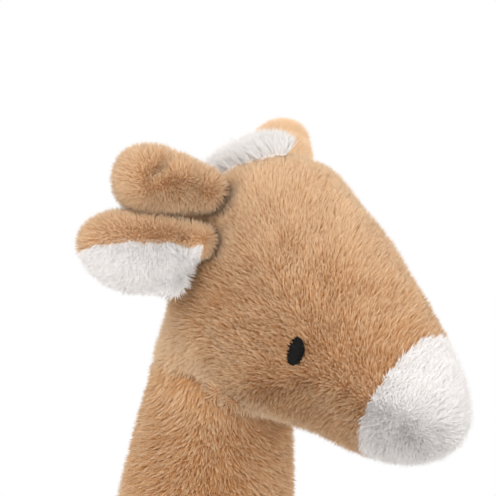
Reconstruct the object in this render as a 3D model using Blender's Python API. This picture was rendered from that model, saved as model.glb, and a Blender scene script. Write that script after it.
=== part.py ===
"""Sitting plush giraffe: sewn pile covers over fibre stuffing, with pellets in its seat and hooves.

Lengths are in metres. The giraffe faces -Y, stands on z = 0, and its left side is at +X.
"""

from math import asin, copysign, cos, pi, radians, sin, tan

import bmesh
import bpy
from mathutils import Matrix, Vector

# Fabric and fits
PILE_COVER = 0.005
BAG_WALL = 0.001
FIT_GAP = 0.0003
FLOOR_FLAT = 0.0005
OVERRUN = 0.02

# Torso, whose base is a flat panel
TORSO_HALF_WIDTH = 0.057
TORSO_HALF_DEPTH = 0.057
TORSO_SEAT_SHIFT = 0.006
BELLY_PANEL_HALF_WIDTH = 0.024

# Neck, measured along its own leaning line from the pivot in the shoulders
NECK_PIVOT_HEIGHT = 0.103
NECK_PIVOT_RADIUS = 0.054
NECK_LEAN = radians(8.0)
NECK_LENGTH = 0.166
NECK_BASE_RADIUS = 0.040
NECK_COLLAR_RADIUS = 0.0282
NAPE_LENGTH = 0.058

# Head, placed by the point midway between the horn roots
CROWN_RISE = 0.0726
CROWN_REACH = 0.0184
HEAD_PITCH = radians(33.0)
HEAD_LENGTH = 0.146
HEAD_HALF_WIDTH = 0.0325
HEAD_BROW = 0.058
HEAD_JAW = 0.031
HEAD_BACK_REACH = 0.0350
HEAD_BACK_DROP = 0.0167
MUZZLE_SHARE = 0.774
GUSSET_HALF_WIDTH = 0.013

# Face
EYE_WIDTH = 0.0077
EYE_HEIGHT = 0.0112
EYE_TILT = radians(22.0)
EYE_THICKNESS = 0.0008
EYE_AHEAD = 0.0374
EYE_BELOW = 0.0544

# Horns
HORN_AHEAD = -0.0080
HORN_STAND_OFF = 0.0042
HORN_ROOT_RADIUS = 0.0092
HORN_BULB_RADIUS = 0.0125
HORN_LENGTH = 0.0375
HORN_AIM = Vector((0.79, 0.56, 0.245))
HORN_COVER = 0.004

# Ears
EAR_AHEAD = -0.0055
EAR_BELOW = 0.0168
EAR_STAND_OFF = 0.0030
EAR_ROOT_RADIUS = 0.0078
EAR_LENGTH = 0.0470
EAR_AIM = Vector((0.716, 0.697, 0.030))
EAR_UPPER_HEIGHT = 0.0110
EAR_LOWER_HEIGHT = 0.0205
EAR_HALF_DEPTH = 0.0110
EAR_SEAM_RISE = 0.0030
EAR_SEAM_TURN = radians(30.0)

# Mane
MANE_HALF_WIDTH = 0.0076
MANE_HEIGHT = 0.0074
MANE_SINK = 0.0030

# Hind legs
HIP_SPREAD = 0.030
HIP_AHEAD = 0.030
HIP_RAISE = radians(15.0)
HIP_HANG = radians(80.0)
HIND_LEG_LENGTH = 0.150
HIND_LEG_RADIUS = 0.022
HIND_HOOF_RADIUS = 0.0195
HIND_LEG_SPLAY = radians(8.0)
HIND_HOOF_SHARE = 0.74

# Front legs
SHOULDER_HEIGHT = 0.104
SHOULDER_AHEAD = 0.004
SHOULDER_FACE = 0.050
SHOULDER_SINK = 0.006
SHOULDER_FLARE = radians(8.0)
FRONT_LEG_LENGTH = 0.1005
FRONT_LEG_RADIUS = 0.017
FRONT_HOOF_RADIUS = 0.0156
FRONT_LEG_SPREAD = radians(12.0)
FRONT_LEG_SWING = radians(6.0)
FRONT_HOOF_SHARE = 0.74

# Tail
TAIL_HEIGHT = 0.058
TAIL_STAND_OFF = 0.0046
TAIL_LENGTH = 0.062
TAIL_ROOT_RADIUS = 0.0070
TAIL_TUFT_RADIUS = 0.0085
TAIL_DROP = radians(58.0)

# Pellet bag in the seat
BAG_HALF_WIDTH = 0.030
BAG_HALF_DEPTH = 0.020
BAG_HEIGHT = 0.030
BAG_BEHIND = 0.020
BAG_MOUTH_RADIUS = 0.005

# Facets round each form
TORSO_SIDES = 24
NECK_SIDES = 24
HEAD_SIDES = 20
LEG_SIDES = 16
SMALL_SIDES = 12
EYE_SIDES = 16

# Profiles: shares of the sizes above, chosen by hand along each form
TORSO_SHARES = (  # height, half width, half depth, seat shift
    (0.00, 0.62, 0.66, 1.0),
    (0.04, 0.76, 0.80, 1.0),
    (0.13, 0.90, 0.94, 1.0),
    (0.29, 0.99, 1.00, 1.0),
    (0.53, 1.00, 1.00, 0.7),
    (0.77, 0.98, 0.98, 0.3),
    (1.00, 0.945, 0.945, 0.0),
)
DOME_SHARES = (0.72, 0.60, 0.48, 0.32, 0.16, 0.0)  # angles from the top, as shares of a right angle
NECK_SHARES = (  # length, radius from the collar's 0 to the base's 1
    (0.10, 1.06),
    (0.24, 1.00),
    (0.38, 0.89),
    (0.54, 0.76),
    (0.70, 0.56),
    (0.87, 0.25),
    (1.00, 0.00),
)
NAPE_SHARES = ((0.0, 1.0), (0.24, 0.93), (0.48, 0.86), (0.69, 0.77), (0.86, 0.60), (0.96, 0.34), (1.0, 0.0))
HEAD_SHARES = (  # length, brow, jaw, half width, drop of the cheek below the jaw, its squareness
    (0.000, 0.17, -0.32, 0.00, 0.00, 0.0),
    (0.018, 0.44, 0.20, 0.46, 0.15, 0.0),
    (0.062, 0.68, 0.52, 0.68, 0.30, 0.0),
    (0.144, 0.90, 0.84, 0.87, 0.30, 0.0),
    (0.260, 1.00, 1.00, 0.97, 0.50, 0.5),
    (0.384, 0.96, 1.02, 1.00, 0.60, 0.8),
    (0.507, 0.865, 0.985, 0.985, 0.08, 2.0),
    (0.644, 0.745, 0.86, 0.92, 0.00, 0.3),
    (0.774, 0.615, 0.72, 0.84, 0.00, 0.0),
    (0.877, 0.495, 0.510, 0.70, 0.00, 0.0),
    (0.952, 0.355, 0.220, 0.48, 0.00, 0.0),
    (1.000, 0.120, -0.224, 0.00, 0.00, 0.0),
)
GUSSET_SHARE = 0.2  # of the brow's height, where the brow strip's cutter starts
ROOT_SHARES = (0.0, 0.15, 0.32, 0.5)  # half turns round a limb's root, from its end to its widest ring
LEG_SHARES = ((0.17, 0.97), (0.37, 0.86), (0.57, 0.77), (0.70, 0.76))  # length, root radius
HOOF_SHARES = ((0.80, 0.95), (0.88, 1.00), (0.945, 0.88), (0.985, 0.55), (1.0, 0.0))  # length, hoof radius
HORN_SHARES = ((0.17, 0.75), (0.31, 0.87), (0.49, 0.96), (0.67, 1.00), (0.83, 0.90), (0.95, 0.55), (1.0, 0.0))
EAR_SHARES = (  # length, half depth, height above the seam line and below it
    (0.115, 0.56, 0.74, 0.90),
    (0.25, 0.82, 0.87, 0.99),
    (0.42, 0.96, 0.98, 1.02),
    (0.60, 1.00, 1.00, 1.00),
    (0.76, 0.92, 0.93, 0.86),
    (0.90, 0.68, 0.70, 0.58),
    (0.975, 0.36, 0.38, 0.30),
    (1.00, 0.00, 0.00, 0.00),
)
TAIL_SHARES = ((0.20, 0.80), (0.40, 0.72), (0.60, 0.66))  # length, root radius
TUFT_SHARES = ((0.60, 0.72), (0.74, 1.00), (0.88, 0.86), (0.97, 0.45), (1.0, 0.0))  # length, tuft radius
MANE_SHARES = (  # row of the head's table, quarter turns up from its side, fullness
    (2.0, -1.0, 0.0),
    (1.6, -1.0, 0.6),
    (1.0, -1.0, 1.0),
    (0.0, 0.0, 1.0),
    (1.0, 1.0, 1.0),
    (1.7, 1.0, 1.0),
    (2.3, 1.0, 1.0),
    (2.8, 1.0, 0.92),
    (3.12, 1.0, 0.62),
    (3.30, 1.0, 0.0),
)
BAG_SHARES = ((0.0, 0.86), (0.18, 1.0), (0.55, 0.96), (0.82, 0.74), (0.96, 0.36), (1.0, 0.0))

RIGHT, LEFT = -1, 1
SIDE_NAMES = {RIGHT: "right", LEFT: "left"}
UP = Vector((0.0, 0.0, 1.0))
BACK = Vector((0.0, 1.0, 0.0))
ACROSS = Vector((1.0, 0.0, 0.0))

FINISHES = {  # colour, roughness
    "plush_tan": ((0.55, 0.33, 0.18, 1.0), 0.95),
    "plush_white": ((0.82, 0.81, 0.79, 1.0), 0.95),
    "eye_thread": ((0.008, 0.007, 0.006, 1.0), 0.45),
    "fibre_fill": ((0.88, 0.88, 0.86, 1.0), 0.90),
    "pellet_bag": ((0.70, 0.70, 0.68, 1.0), 0.85),
    "pellets": ((0.75, 0.78, 0.80, 1.0), 0.50),
}

guides = []


def finish(slot):
    """The material of a slot, made the first time it is asked for."""
    found = bpy.data.materials.get(slot)
    if found:
        return found
    colour, roughness = FINISHES[slot]
    made = bpy.data.materials.new(slot)
    made.use_nodes = True
    shader = made.node_tree.nodes["Principled BSDF"]
    shader.inputs["Base Color"].default_value = colour
    shader.inputs["Roughness"].default_value = roughness
    shader.inputs["Metallic"].default_value = 0.0
    return made


def lofted(name, rings):
    """A closed solid over a row of rings. A ring of one point is a pole, and other ends are flat."""
    rings = list(rings)
    while len(rings[0]) == len(rings[1]) == 1:
        rings.pop(0)
    while len(rings[-1]) == len(rings[-2]) == 1:
        rings.pop()
    shape = bmesh.new()
    rows = [[shape.verts.new(point) for point in ring] for ring in rings]
    for near, far in zip(rows, rows[1:]):
        for i in range(max(len(near), len(far))):
            here, there = near[i % len(near)], near[(i + 1) % len(near)]
            corners = (here, there, far[(i + 1) % len(far)], far[i % len(far)])
            shape.faces.new(list(dict.fromkeys(corners)))
    for row in (rows[0], rows[-1]):
        if len(row) > 1:
            shape.faces.new(row)
    bmesh.ops.recalc_face_normals(shape, faces=shape.faces)
    bmesh.ops.triangulate(shape, faces=shape.faces)
    mesh = bpy.data.meshes.new(name)
    shape.to_mesh(mesh)
    shape.free()
    mesh.shade_smooth()
    mesh.set_sharp_from_angle(angle=radians(50.0))
    body = bpy.data.objects.new(name, mesh)
    bpy.context.collection.objects.link(body)
    body.hide_render = True
    body.display_type = "WIRE"
    guides.append(body)
    return body


def oval(centre, across, upward, half_across, half_up, half_down, sides, squareness=0.0):
    """A ring of points round a centre, squarer below it if asked, or the centre where it has no width."""
    if half_across <= 0.0:
        return [centre]
    ring = []
    for i in range(sides):
        out, rise = squared(2.0 * pi * (i + 0.5) / sides, squareness)
        half_high = half_up if rise > 0.0 else half_down
        ring.append(centre + across * (half_across * out) + upward * (half_high * rise))
    return ring


def squared(turn, squareness):
    """Shares of an oval's half width and half height at a turn round it, squarer below its middle."""
    out, rise = cos(turn), sin(turn)
    if rise >= 0.0 or squareness <= 0.0:
        return out, rise
    power = 1.0 / (1.0 + squareness)
    return copysign(abs(out) ** power, out), -(abs(rise) ** power)


def inner(sides):
    """Facets of a form that lies inside a cover, two for every three outside."""
    return 2 * (sides // 3)


def crossways(direction):
    """Two directions square to this one and to each other, the first as level as it can be."""
    level = direction.cross(UP)
    level = ACROSS.copy() if level.length < 0.1 else level.normalized()
    return level, level.cross(direction).normalized()


def turned(name, origin, direction, stations, sides):
    """A solid of revolution from (length, radius) stations along a direction."""
    across, upward = crossways(direction)
    rings = [oval(origin + direction * along, across, upward, r, r, r, sides) for along, r in stations]
    return lofted(name, rings)


def ball(name, centre, radius, sides):
    """A faceted ball whose flats all lie at least the radius from its centre."""
    outer = radius / cos(pi / sides) ** 2
    steps = sides // 2
    stations = [(-outer * cos(pi * i / steps), outer * sin(pi * i / steps)) for i in range(1, steps)]
    return turned(name, centre, UP, [(-outer, 0.0), *stations, (outer, 0.0)], sides)


def slab(name, low, high):
    """A box between two corners."""
    corners = ((low[0], low[1]), (high[0], low[1]), (high[0], high[1]), (low[0], high[1]))
    return lofted(name, [[Vector((x, y, z)) for x, y in corners] for z in (low[2], high[2])])


def block(name, corner, sides):
    """A slanted box from one corner and its three sides."""
    first, second, third = sides
    base = [corner, corner + first, corner + first + second, corner + second]
    return lofted(name, [base, [point + third for point in base]])


def cut(body, operation, *tools):
    """Applies exact Booleans to a body, one tool after another."""
    for tool in tools:
        step = body.modifiers.new(tool.name, "BOOLEAN")
        step.solver = "EXACT"
        step.operation = operation
        step.object = tool
        seen = body.evaluated_get(bpy.context.evaluated_depsgraph_get())
        shaped = bpy.data.meshes.new_from_object(seen)
        body.modifiers.clear()
        body.data, old = shaped, body.data
        bpy.data.meshes.remove(old)
    return body


def copy_of(body, name):
    """A separate body of the same shape."""
    twin = bpy.data.objects.new(name, body.data.copy())
    bpy.context.collection.objects.link(twin)
    twin.hide_render = True
    twin.display_type = "WIRE"
    guides.append(twin)
    return twin


def piece(body, name, slot, joint):
    """Makes a body one of the giraffe's pieces, with its origin on the joint that moves it."""
    guides.remove(body)
    body.name = name
    body.data.name = name
    body.hide_render = False
    body.display_type = "TEXTURED"
    body.data.materials.clear()
    body.data.materials.append(finish(slot))
    body.data.transform(Matrix.Translation(-joint.location))
    body.parent = joint
    return body


def joint_at(name, place):
    """An empty that stands for a joint."""
    joint = bpy.data.objects.new(name, None)
    joint.location = place
    joint.empty_display_size = FRONT_HOOF_RADIUS
    bpy.context.collection.objects.link(joint)
    return joint


def rounded_root(radius):
    """Stations of the ball that roots a limb, up to its widest ring."""
    return [(-radius * cos(pi * share), radius * sin(pi * share)) for share in ROOT_SHARES]


def grown(stations, inset):
    """Stations of the same solid with its skin moved in by the inset, or out where it is negative."""
    first, last = stations[0][0], stations[-1][0]
    scale = (last - first - 2.0 * inset) / (last - first)
    return [(first + inset + (along - first) * scale, max(radius - inset, 0.0)) for along, radius in stations]


# Neck and its frame
NECK_PIVOT = Vector((0.0, 0.0, NECK_PIVOT_HEIGHT))
NECK_LINE = Vector((0.0, -sin(NECK_LEAN), cos(NECK_LEAN)))
COLLAR = NECK_PIVOT + NECK_LINE * NECK_LENGTH
CROWN = COLLAR + Vector((0.0, -CROWN_REACH, CROWN_RISE))


def neck_radius(share):
    """Radius of the neck at a share of its length, read between its stations."""
    for (near, low), (far, high) in zip(NECK_SHARES, NECK_SHARES[1:]):
        if share <= far:
            level = low + (high - low) * (share - near) / (far - near)
            break
    return NECK_COLLAR_RADIUS + (NECK_BASE_RADIUS - NECK_COLLAR_RADIUS) * level


def neck_form(name, inset, base_run, top_run):
    """The neck between its shoulder end and its collar, each end moved outward by a run."""
    stations = [(NECK_LENGTH * share, neck_radius(share) - inset) for share, _ in NECK_SHARES]
    first, last = stations[0], stations[-1]
    stations = [(first[0] - base_run, first[1]), *stations[1:-1], (last[0] + top_run, last[1])]
    return turned(name, NECK_PIVOT, NECK_LINE, stations, NECK_SIDES if inset <= 0.0 else inner(NECK_SIDES))


def make_neck(joint):
    """Two sewn halves of pile cover round one core of fibre, on the shoulder's dome."""
    seat = ball("neck_seat", NECK_PIVOT, NECK_PIVOT_RADIUS + FIT_GAP, NECK_SIDES)
    tube = neck_form("neck_tube", 0.0, 0.0, -FIT_GAP)
    cut(tube, "DIFFERENCE", neck_form("neck_bore", PILE_COVER, OVERRUN, OVERRUN), seat)
    for side in (RIGHT, LEFT):
        half = cut(copy_of(tube, "half"), "INTERSECT", half_space(side, FIT_GAP / 2.0))
        piece(half, f"neck_cover_{SIDE_NAMES[side]}", "plush_tan", joint)
    core = neck_form("neck_core", PILE_COVER + FIT_GAP, 0.0, -FIT_GAP)
    piece(cut(core, "DIFFERENCE", seat), "neck_stuffing", "fibre_fill", joint)


def half_space(side, from_middle):
    """A box over everything on one side of the middle plane."""
    near, far = sorted((side * from_middle, side * HIND_LEG_LENGTH))
    reach = HIND_LEG_LENGTH + HEAD_LENGTH
    top = CROWN.z + HEAD_LENGTH
    return slab("half_space", (near, -reach, -OVERRUN), (far, reach, top))


# Head
HEAD_LINE = Vector((0.0, -cos(HEAD_PITCH), -sin(HEAD_PITCH)))
HEAD_UP = Vector((0.0, -sin(HEAD_PITCH), cos(HEAD_PITCH)))
HEAD_BACK = CROWN + Vector((0.0, HEAD_BACK_REACH, -HEAD_BACK_DROP))


def between(stations, place):
    """Every column of a table at a place counted in its rows, on a smooth curve through them."""
    row = min(int(place), len(stations) - 2)
    part = place - row
    before, near = stations[max(row - 1, 0)], stations[row]
    far, after = stations[row + 1], stations[min(row + 2, len(stations) - 1)]
    mixed = []
    for a, b, c, d in zip(before, near, far, after):
        bend = 2.0 * a - 5.0 * b + 4.0 * c - d
        sway = 3.0 * b - a - 3.0 * c + d
        mixed.append(b + 0.5 * part * (c - a + part * (bend + part * sway)))
    return mixed


def head_section(place, inset):
    """Centre, half width, half heights up and down, and squareness of the head at a place in its table."""
    share, brow, jaw, width, drop, squareness = between(HEAD_SHARES, place)
    along = inset + share * (HEAD_LENGTH - 2.0 * inset)
    top, bottom = HEAD_BROW * brow, -HEAD_JAW * jaw
    centre = HEAD_BACK + HEAD_LINE * along + HEAD_UP * ((top + bottom) / 2.0)
    half_up = (top - bottom) / 2.0 - inset
    return centre, HEAD_HALF_WIDTH * width - inset, half_up, half_up + HEAD_JAW * drop, squareness


def head_rings(inset):
    """Rings of the head from its back to the tip of the muzzle, one to each row of its table."""
    sides = HEAD_SIDES if inset <= 0.0 else inner(HEAD_SIDES)
    last = len(HEAD_SHARES) - 1
    rings = []
    for row in range(last + 1):
        centre, half_width, half_up, half_down, squareness = head_section(float(row), inset)
        half_width = half_width if 0 < row < last else 0.0
        rings.append(oval(centre, ACROSS, HEAD_UP, half_width, half_up, half_down, sides, squareness))
    return rings


def nape_form(name, inset, drop):
    """The back of the head, which carries the neck's round shape up from the collar."""
    stations = [(share * NAPE_LENGTH, radius * NECK_COLLAR_RADIUS - inset) for share, radius in NAPE_SHARES]
    stations[-1] = (stations[-1][0] - inset, 0.0)
    sides = NECK_SIDES if inset <= 0.0 else inner(NECK_SIDES)
    return turned(name, COLLAR, NECK_LINE, [(-drop, stations[0][1]), *stations[1:]], sides)


def neck_room(name, inset, top_run):
    """The space that the turning head leaves for the neck, up to its collar."""
    spare = (FIT_GAP + inset) / cos(pi / NECK_SIDES) + NECK_COLLAR_RADIUS * (1.0 / cos(pi / NECK_SIDES) - 1.0)
    return neck_form(name, -spare, 0.0, top_run)


def head_form(name, inset):
    """The whole head's solid with its skin moved in by the inset."""
    skull = lofted(name, head_rings(inset))
    if inset <= 0.0:
        cut(skull, "UNION", nape_form("nape", inset, OVERRUN))
        return cut(skull, "DIFFERENCE", neck_room("neck_room", inset, 0.0))
    cut(skull, "DIFFERENCE", neck_room("neck_room", inset, inset))
    return cut(skull, "UNION", nape_form("nape", inset, FIT_GAP))


def skin_point(place, turn):
    """A point on the head's skin at a place in its table, turned from its left side, and its way out."""
    centre, half_width, half_up, half_down, squareness = head_section(place, 0.0)
    half_high = half_up if sin(turn) > 0.0 else half_down
    out, rise = squared(turn, squareness)
    point = centre + ACROSS * (half_width * out) + HEAD_UP * (half_high * rise)
    outward = ACROSS * (cos(turn) * half_high) + HEAD_UP * (sin(turn) * half_width)
    return point, outward.normalized()


def side_point(side, ahead, below):
    """Where the head's skin is at a distance ahead of the crown and below it, and its way out."""
    target = CROWN + Vector((0.0, -ahead, -below))
    along = (target - HEAD_BACK).dot(HEAD_LINE)
    place = 0.0
    for row in range(len(HEAD_SHARES) - 1):
        near, far = HEAD_SHARES[row][0] * HEAD_LENGTH, HEAD_SHARES[row + 1][0] * HEAD_LENGTH
        if near <= along <= far:
            place = row + (along - near) / (far - near)
    centre, _, half_up, half_down, squareness = head_section(place, 0.0)
    height = (target - centre).dot(HEAD_UP)
    rise = asin(height / half_up) if height > 0.0 else -asin((-height / half_down) ** (1.0 + squareness))
    return skin_point(place, rise if side == LEFT else pi - rise)


def muzzle_cutter(name, gap):
    """A box over the end of the muzzle, square to the head's line."""
    start = HEAD_BACK + HEAD_LINE * (MUZZLE_SHARE * HEAD_LENGTH + gap)
    wide = ACROSS * HEAD_LENGTH
    high = HEAD_UP * HEAD_LENGTH
    return block(name, start - wide - high, (wide * 2.0, high * 2.0, HEAD_LINE * HEAD_LENGTH))


def gusset_cutter(name, gap):
    """A slab over the strip that runs from the muzzle over the brow to the nape."""
    half = ACROSS * (GUSSET_HALF_WIDTH + gap)
    low = HEAD_BACK + HEAD_UP * (HEAD_BROW * GUSSET_SHARE)
    ends = HEAD_LINE * HEAD_LENGTH
    return block(name, low - half - ends, (half * 2.0, HEAD_UP * HEAD_LENGTH, ends * 2.0))


def make_head(joint, sockets):
    """Side panels, brow gusset and muzzle of the cover, the fibre core and the embroidered eyes."""
    whole = head_form("head_whole", 0.0)
    skin = copy_of(whole, "head_skin")
    cavity = head_form("head_cavity", PILE_COVER)
    cut(skin, "DIFFERENCE", cavity, *sockets)
    muzzle = cut(copy_of(skin, "muzzle"), "INTERSECT", muzzle_cutter("muzzle_end", FIT_GAP / 2.0))
    piece(muzzle, "muzzle_cover", "plush_white", joint)
    cut(skin, "DIFFERENCE", muzzle_cutter("muzzle_end", -FIT_GAP / 2.0))
    gusset = cut(copy_of(skin, "gusset"), "INTERSECT", gusset_cutter("gusset_strip", -FIT_GAP / 2.0))
    piece(gusset, "brow_gusset", "plush_tan", joint)
    cut(skin, "DIFFERENCE", gusset_cutter("gusset_strip", FIT_GAP / 2.0))
    for side in (RIGHT, LEFT):
        half = cut(copy_of(skin, "half"), "INTERSECT", half_space(side, FIT_GAP / 2.0))
        piece(half, f"head_cover_{SIDE_NAMES[side]}", "plush_tan", joint)
    core = cut(head_form("head_core", PILE_COVER + FIT_GAP), "DIFFERENCE", *sockets)
    piece(core, "head_stuffing", "fibre_fill", joint)
    for side in (RIGHT, LEFT):
        make_eye(side, joint)


def make_eye(side, joint):
    """A thin oval pad of embroidery that lies on the cheek."""
    middle, outward = side_point(side, EYE_AHEAD, EYE_BELOW)
    level = outward.cross(UP).normalized()
    upward = level.cross(outward) * side
    upward = -upward if upward.z < 0.0 else upward
    tilt = Matrix.Rotation(side * EYE_TILT, 3, outward)
    level, upward = tilt @ level, tilt @ upward
    rings = []
    half = EYE_HEIGHT / 2.0
    for run in (FIT_GAP, FIT_GAP + EYE_THICKNESS):
        rings.append(oval(middle + outward * run, level, upward, EYE_WIDTH / 2.0, half, half, EYE_SIDES))
    pad = cut(lofted("eye", rings), "DIFFERENCE", head_form("head_clear", -FIT_GAP))
    piece(pad, f"eye_{SIDE_NAMES[side]}", "eye_thread", joint)


# Horns and ears
def on_side(side, direction):
    """A direction given for the left side, on the side asked for."""
    return Vector((side * direction.x, direction.y, direction.z)).normalized()


def horn_place(side):
    """Where the ball of a horn's root has its centre."""
    point, outward = side_point(side, HORN_AHEAD, 0.0)
    return point + outward * HORN_STAND_OFF


def ear_place(side):
    """Where the ball of an ear's root has its centre."""
    point, outward = side_point(side, EAR_AHEAD, EAR_BELOW)
    return point + outward * EAR_STAND_OFF


def make_horn(side, joint):
    """A stuffed club with a round end, rooted in the head by a ball."""
    stations = rounded_root(HORN_ROOT_RADIUS)
    stations += [(share * HORN_LENGTH, radius * HORN_BULB_RADIUS) for share, radius in HORN_SHARES]
    aim = on_side(side, HORN_AIM)
    place = joint.location.copy()
    cover = turned("horn", place, aim, stations, SMALL_SIDES)
    room = turned("horn_room", place, aim, grown(stations, HORN_COVER), inner(SMALL_SIDES))
    mouth_stations = [(-HORN_LENGTH, HORN_ROOT_RADIUS / 3.0), (0.0, HORN_ROOT_RADIUS / 3.0)]
    mouth = turned("horn_mouth", place, aim, mouth_stations, SMALL_SIDES)
    cut(cover, "DIFFERENCE", room, mouth)
    piece(cover, f"horn_cover_{SIDE_NAMES[side]}", "plush_tan", joint)
    core = turned("horn_core", place, aim, grown(stations, HORN_COVER + FIT_GAP), inner(SMALL_SIDES))
    piece(core, f"horn_stuffing_{SIDE_NAMES[side]}", "fibre_fill", joint)


def make_ear(side, joint):
    """A tan back that takes in the root, and a white lining sewn to it from the root to the tip."""
    aim = on_side(side, EAR_AIM)
    place = joint.location.copy()
    across, upward = crossways(aim)
    rings = []
    for along, radius in rounded_root(EAR_ROOT_RADIUS):
        rings.append(oval(place + aim * along, across, upward, radius, radius, radius, SMALL_SIDES))
    for share, depth, above, below in EAR_SHARES:
        centre = place + aim * (share * EAR_LENGTH)
        halves = (EAR_HALF_DEPTH * depth, EAR_UPPER_HEIGHT * above, EAR_LOWER_HEIGHT * below)
        rings.append(oval(centre, across, upward, *halves, SMALL_SIDES))
    whole = lofted("ear_whole", rings)
    ahead = across if across.y < 0.0 else -across
    seam_out = ahead * cos(EAR_SEAM_TURN) + upward * sin(EAR_SEAM_TURN)
    lining_way = ahead * sin(EAR_SEAM_TURN) - upward * cos(EAR_SEAM_TURN)
    start = place + upward * (EAR_SEAM_RISE - EAR_HALF_DEPTH * sin(EAR_SEAM_TURN))
    wide = 2.0 * EAR_LENGTH
    corner = start - seam_out * wide
    sides = (aim * (2.0 * wide), seam_out * (2.0 * wide), lining_way * wide)
    for slot, name, operation, gap in (
        ("plush_tan", "ear_back", "DIFFERENCE", -FIT_GAP / 2.0),
        ("plush_white", "ear_lining", "INTERSECT", FIT_GAP / 2.0),
    ):
        side_box = block("ear_side", corner + (lining_way + aim) * gap, sides)
        half = cut(copy_of(whole, "ear_half"), operation, side_box)
        piece(half, f"{name}_{SIDE_NAMES[side]}", slot, joint)


# Mane
def make_mane(joint):
    """A rounded strip that runs up the back of the head and over the crown, in the middle plane."""
    points = [skin_point(place, turn * pi / 2.0)[0] for place, turn, _ in MANE_SHARES]
    rings = []
    for i, (_, _, fullness) in enumerate(MANE_SHARES):
        along = points[min(i + 1, len(points) - 1)] - points[max(i - 1, 0)]
        outward = along.cross(ACROSS).normalized()
        centre = points[i] - outward * MANE_SINK
        rise = MANE_HEIGHT * fullness + MANE_SINK
        rings.append(oval(centre, ACROSS, outward, MANE_HALF_WIDTH * fullness, rise, MANE_SINK, SMALL_SIDES))
    strip = cut(lofted("head_mane", rings), "DIFFERENCE", head_form("head_clear", -FIT_GAP))
    piece(strip, "head_mane", "plush_white", joint)


# Torso
def torso_rings(inset):
    """Rings of the torso from the flat seat to the top of the dome that carries the neck."""
    sides = TORSO_SIDES if inset <= 0.0 else inner(TORSO_SIDES)
    rings = []
    for share, width, depth, shift in TORSO_SHARES:
        centre = Vector((0.0, TORSO_SEAT_SHIFT * shift, max(share * NECK_PIVOT_HEIGHT, inset)))
        half_width, half_depth = TORSO_HALF_WIDTH * width - inset, TORSO_HALF_DEPTH * depth - inset
        if share * NECK_PIVOT_HEIGHT >= inset or not rings:
            rings.append(oval(centre, ACROSS, BACK, half_width, half_depth, half_depth, sides))
    radius = NECK_PIVOT_RADIUS - inset
    for share in DOME_SHARES:
        angle = share * pi / 2.0
        centre = NECK_PIVOT + UP * (radius * cos(angle))
        width = radius * sin(angle)
        rings.append(oval(centre, ACROSS, BACK, width, width, width, sides))
    return rings


def hip_place(side):
    """Centre of the ball that roots a hind leg."""
    return Vector((side * HIP_SPREAD, -HIP_AHEAD, HIND_LEG_RADIUS - FLOOR_FLAT))


def hind_leg_line(side):
    """Direction of a hind leg, sinking so that root and hoof both rest on the floor."""
    sink = asin((HIND_LEG_RADIUS - HIND_HOOF_RADIUS) / (HIND_LEG_LENGTH * HOOF_SHARES[1][0]))
    level = cos(sink)
    return Vector((side * sin(HIND_LEG_SPLAY) * level, -cos(HIND_LEG_SPLAY) * level, -sin(sink)))


def hip_outline(radius):
    """Outline, ahead and upward of the hip, of the space that a leg of this radius sweeps."""
    start, stop = -pi / 2.0 - HIP_HANG, -3.0 * pi / 2.0 + HIP_RAISE
    steps = len(ROOT_SHARES) + 2
    arc = [start + (stop - start) * i / steps for i in range(steps + 1)]
    outline = [(radius * cos(a), radius * sin(a)) for a in arc]
    reach = HIND_LEG_LENGTH
    first, last = outline[0], outline[-1]
    outline.append((last[0] + reach * cos(HIP_RAISE), last[1] + reach * sin(HIP_RAISE)))
    outline.append((reach, -reach))
    outline.append((first[0] + reach * cos(HIP_HANG), first[1] - reach * sin(HIP_HANG)))
    return outline


def hip_room(side):
    """The space that a hind leg sweeps as it hangs or lifts, with flat ends square to its hinge."""
    ahead = Vector((side * sin(HIND_LEG_SPLAY), -cos(HIND_LEG_SPLAY), 0.0))
    hinge = Vector((side * cos(HIND_LEG_SPLAY), sin(HIND_LEG_SPLAY), 0.0))
    radius = (HIND_LEG_RADIUS + FIT_GAP) / cos(pi / LEG_SIDES)
    rings = []
    for run in (-radius, radius + OVERRUN):
        centre = hip_place(side) + hinge * run
        rings.append([centre + ahead * x + UP * y for x, y in hip_outline(radius)])
    return lofted("hip_room", rings)


def lap_room(inset):
    """The space across both hips that the hollow of the torso keeps clear of."""
    splay = HIND_LEG_RADIUS * sin(HIND_LEG_SPLAY)
    radius = (HIND_LEG_RADIUS + FIT_GAP) / cos(pi / LEG_SIDES) + inset + splay
    rings = []
    for run in (-2.0 * TORSO_HALF_WIDTH, 2.0 * TORSO_HALF_WIDTH):
        centre = Vector((run, -HIP_AHEAD, hip_place(LEFT).z))
        rings.append([centre - BACK * x + UP * y for x, y in hip_outline(radius)])
    return lofted("lap_room", rings)


def shoulder_place(side):
    """Centre of the root of a front leg."""
    out = SHOULDER_FACE + FRONT_LEG_RADIUS - SHOULDER_SINK
    return Vector((side * out, -SHOULDER_AHEAD, SHOULDER_HEIGHT))


def shoulder_cone(name, side, inner_end, outer_end, face):
    """A solid round the shoulder's axis with one flared end, whose middle lies at the face."""
    reach = NECK_PIVOT_HEIGHT + OVERRUN
    flare = face + reach * tan(SHOULDER_FLARE)
    centre = Vector((0.0, -SHOULDER_AHEAD, SHOULDER_HEIGHT))
    if inner_end is None:
        stations = [(face, 0.0), (flare, reach), (outer_end, reach), (outer_end, 0.0)]
    else:
        stations = [(inner_end, 0.0), (inner_end, reach), (flare, reach), (face, 0.0)]
    return turned(name, centre, ACROSS * side, stations, TORSO_SIDES)


def shoulder_room(side, inset):
    """The space outside a shallow cone, in which a front leg swings past the torso."""
    return shoulder_cone("shoulder_room", side, None, 2.0 * NECK_PIVOT_HEIGHT, SHOULDER_FACE - inset)


def shoulder_clear(side):
    """The space inside that cone, which a front leg keeps out of."""
    return shoulder_cone("shoulder_clear", side, 0.0, None, SHOULDER_FACE + FIT_GAP)


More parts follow.
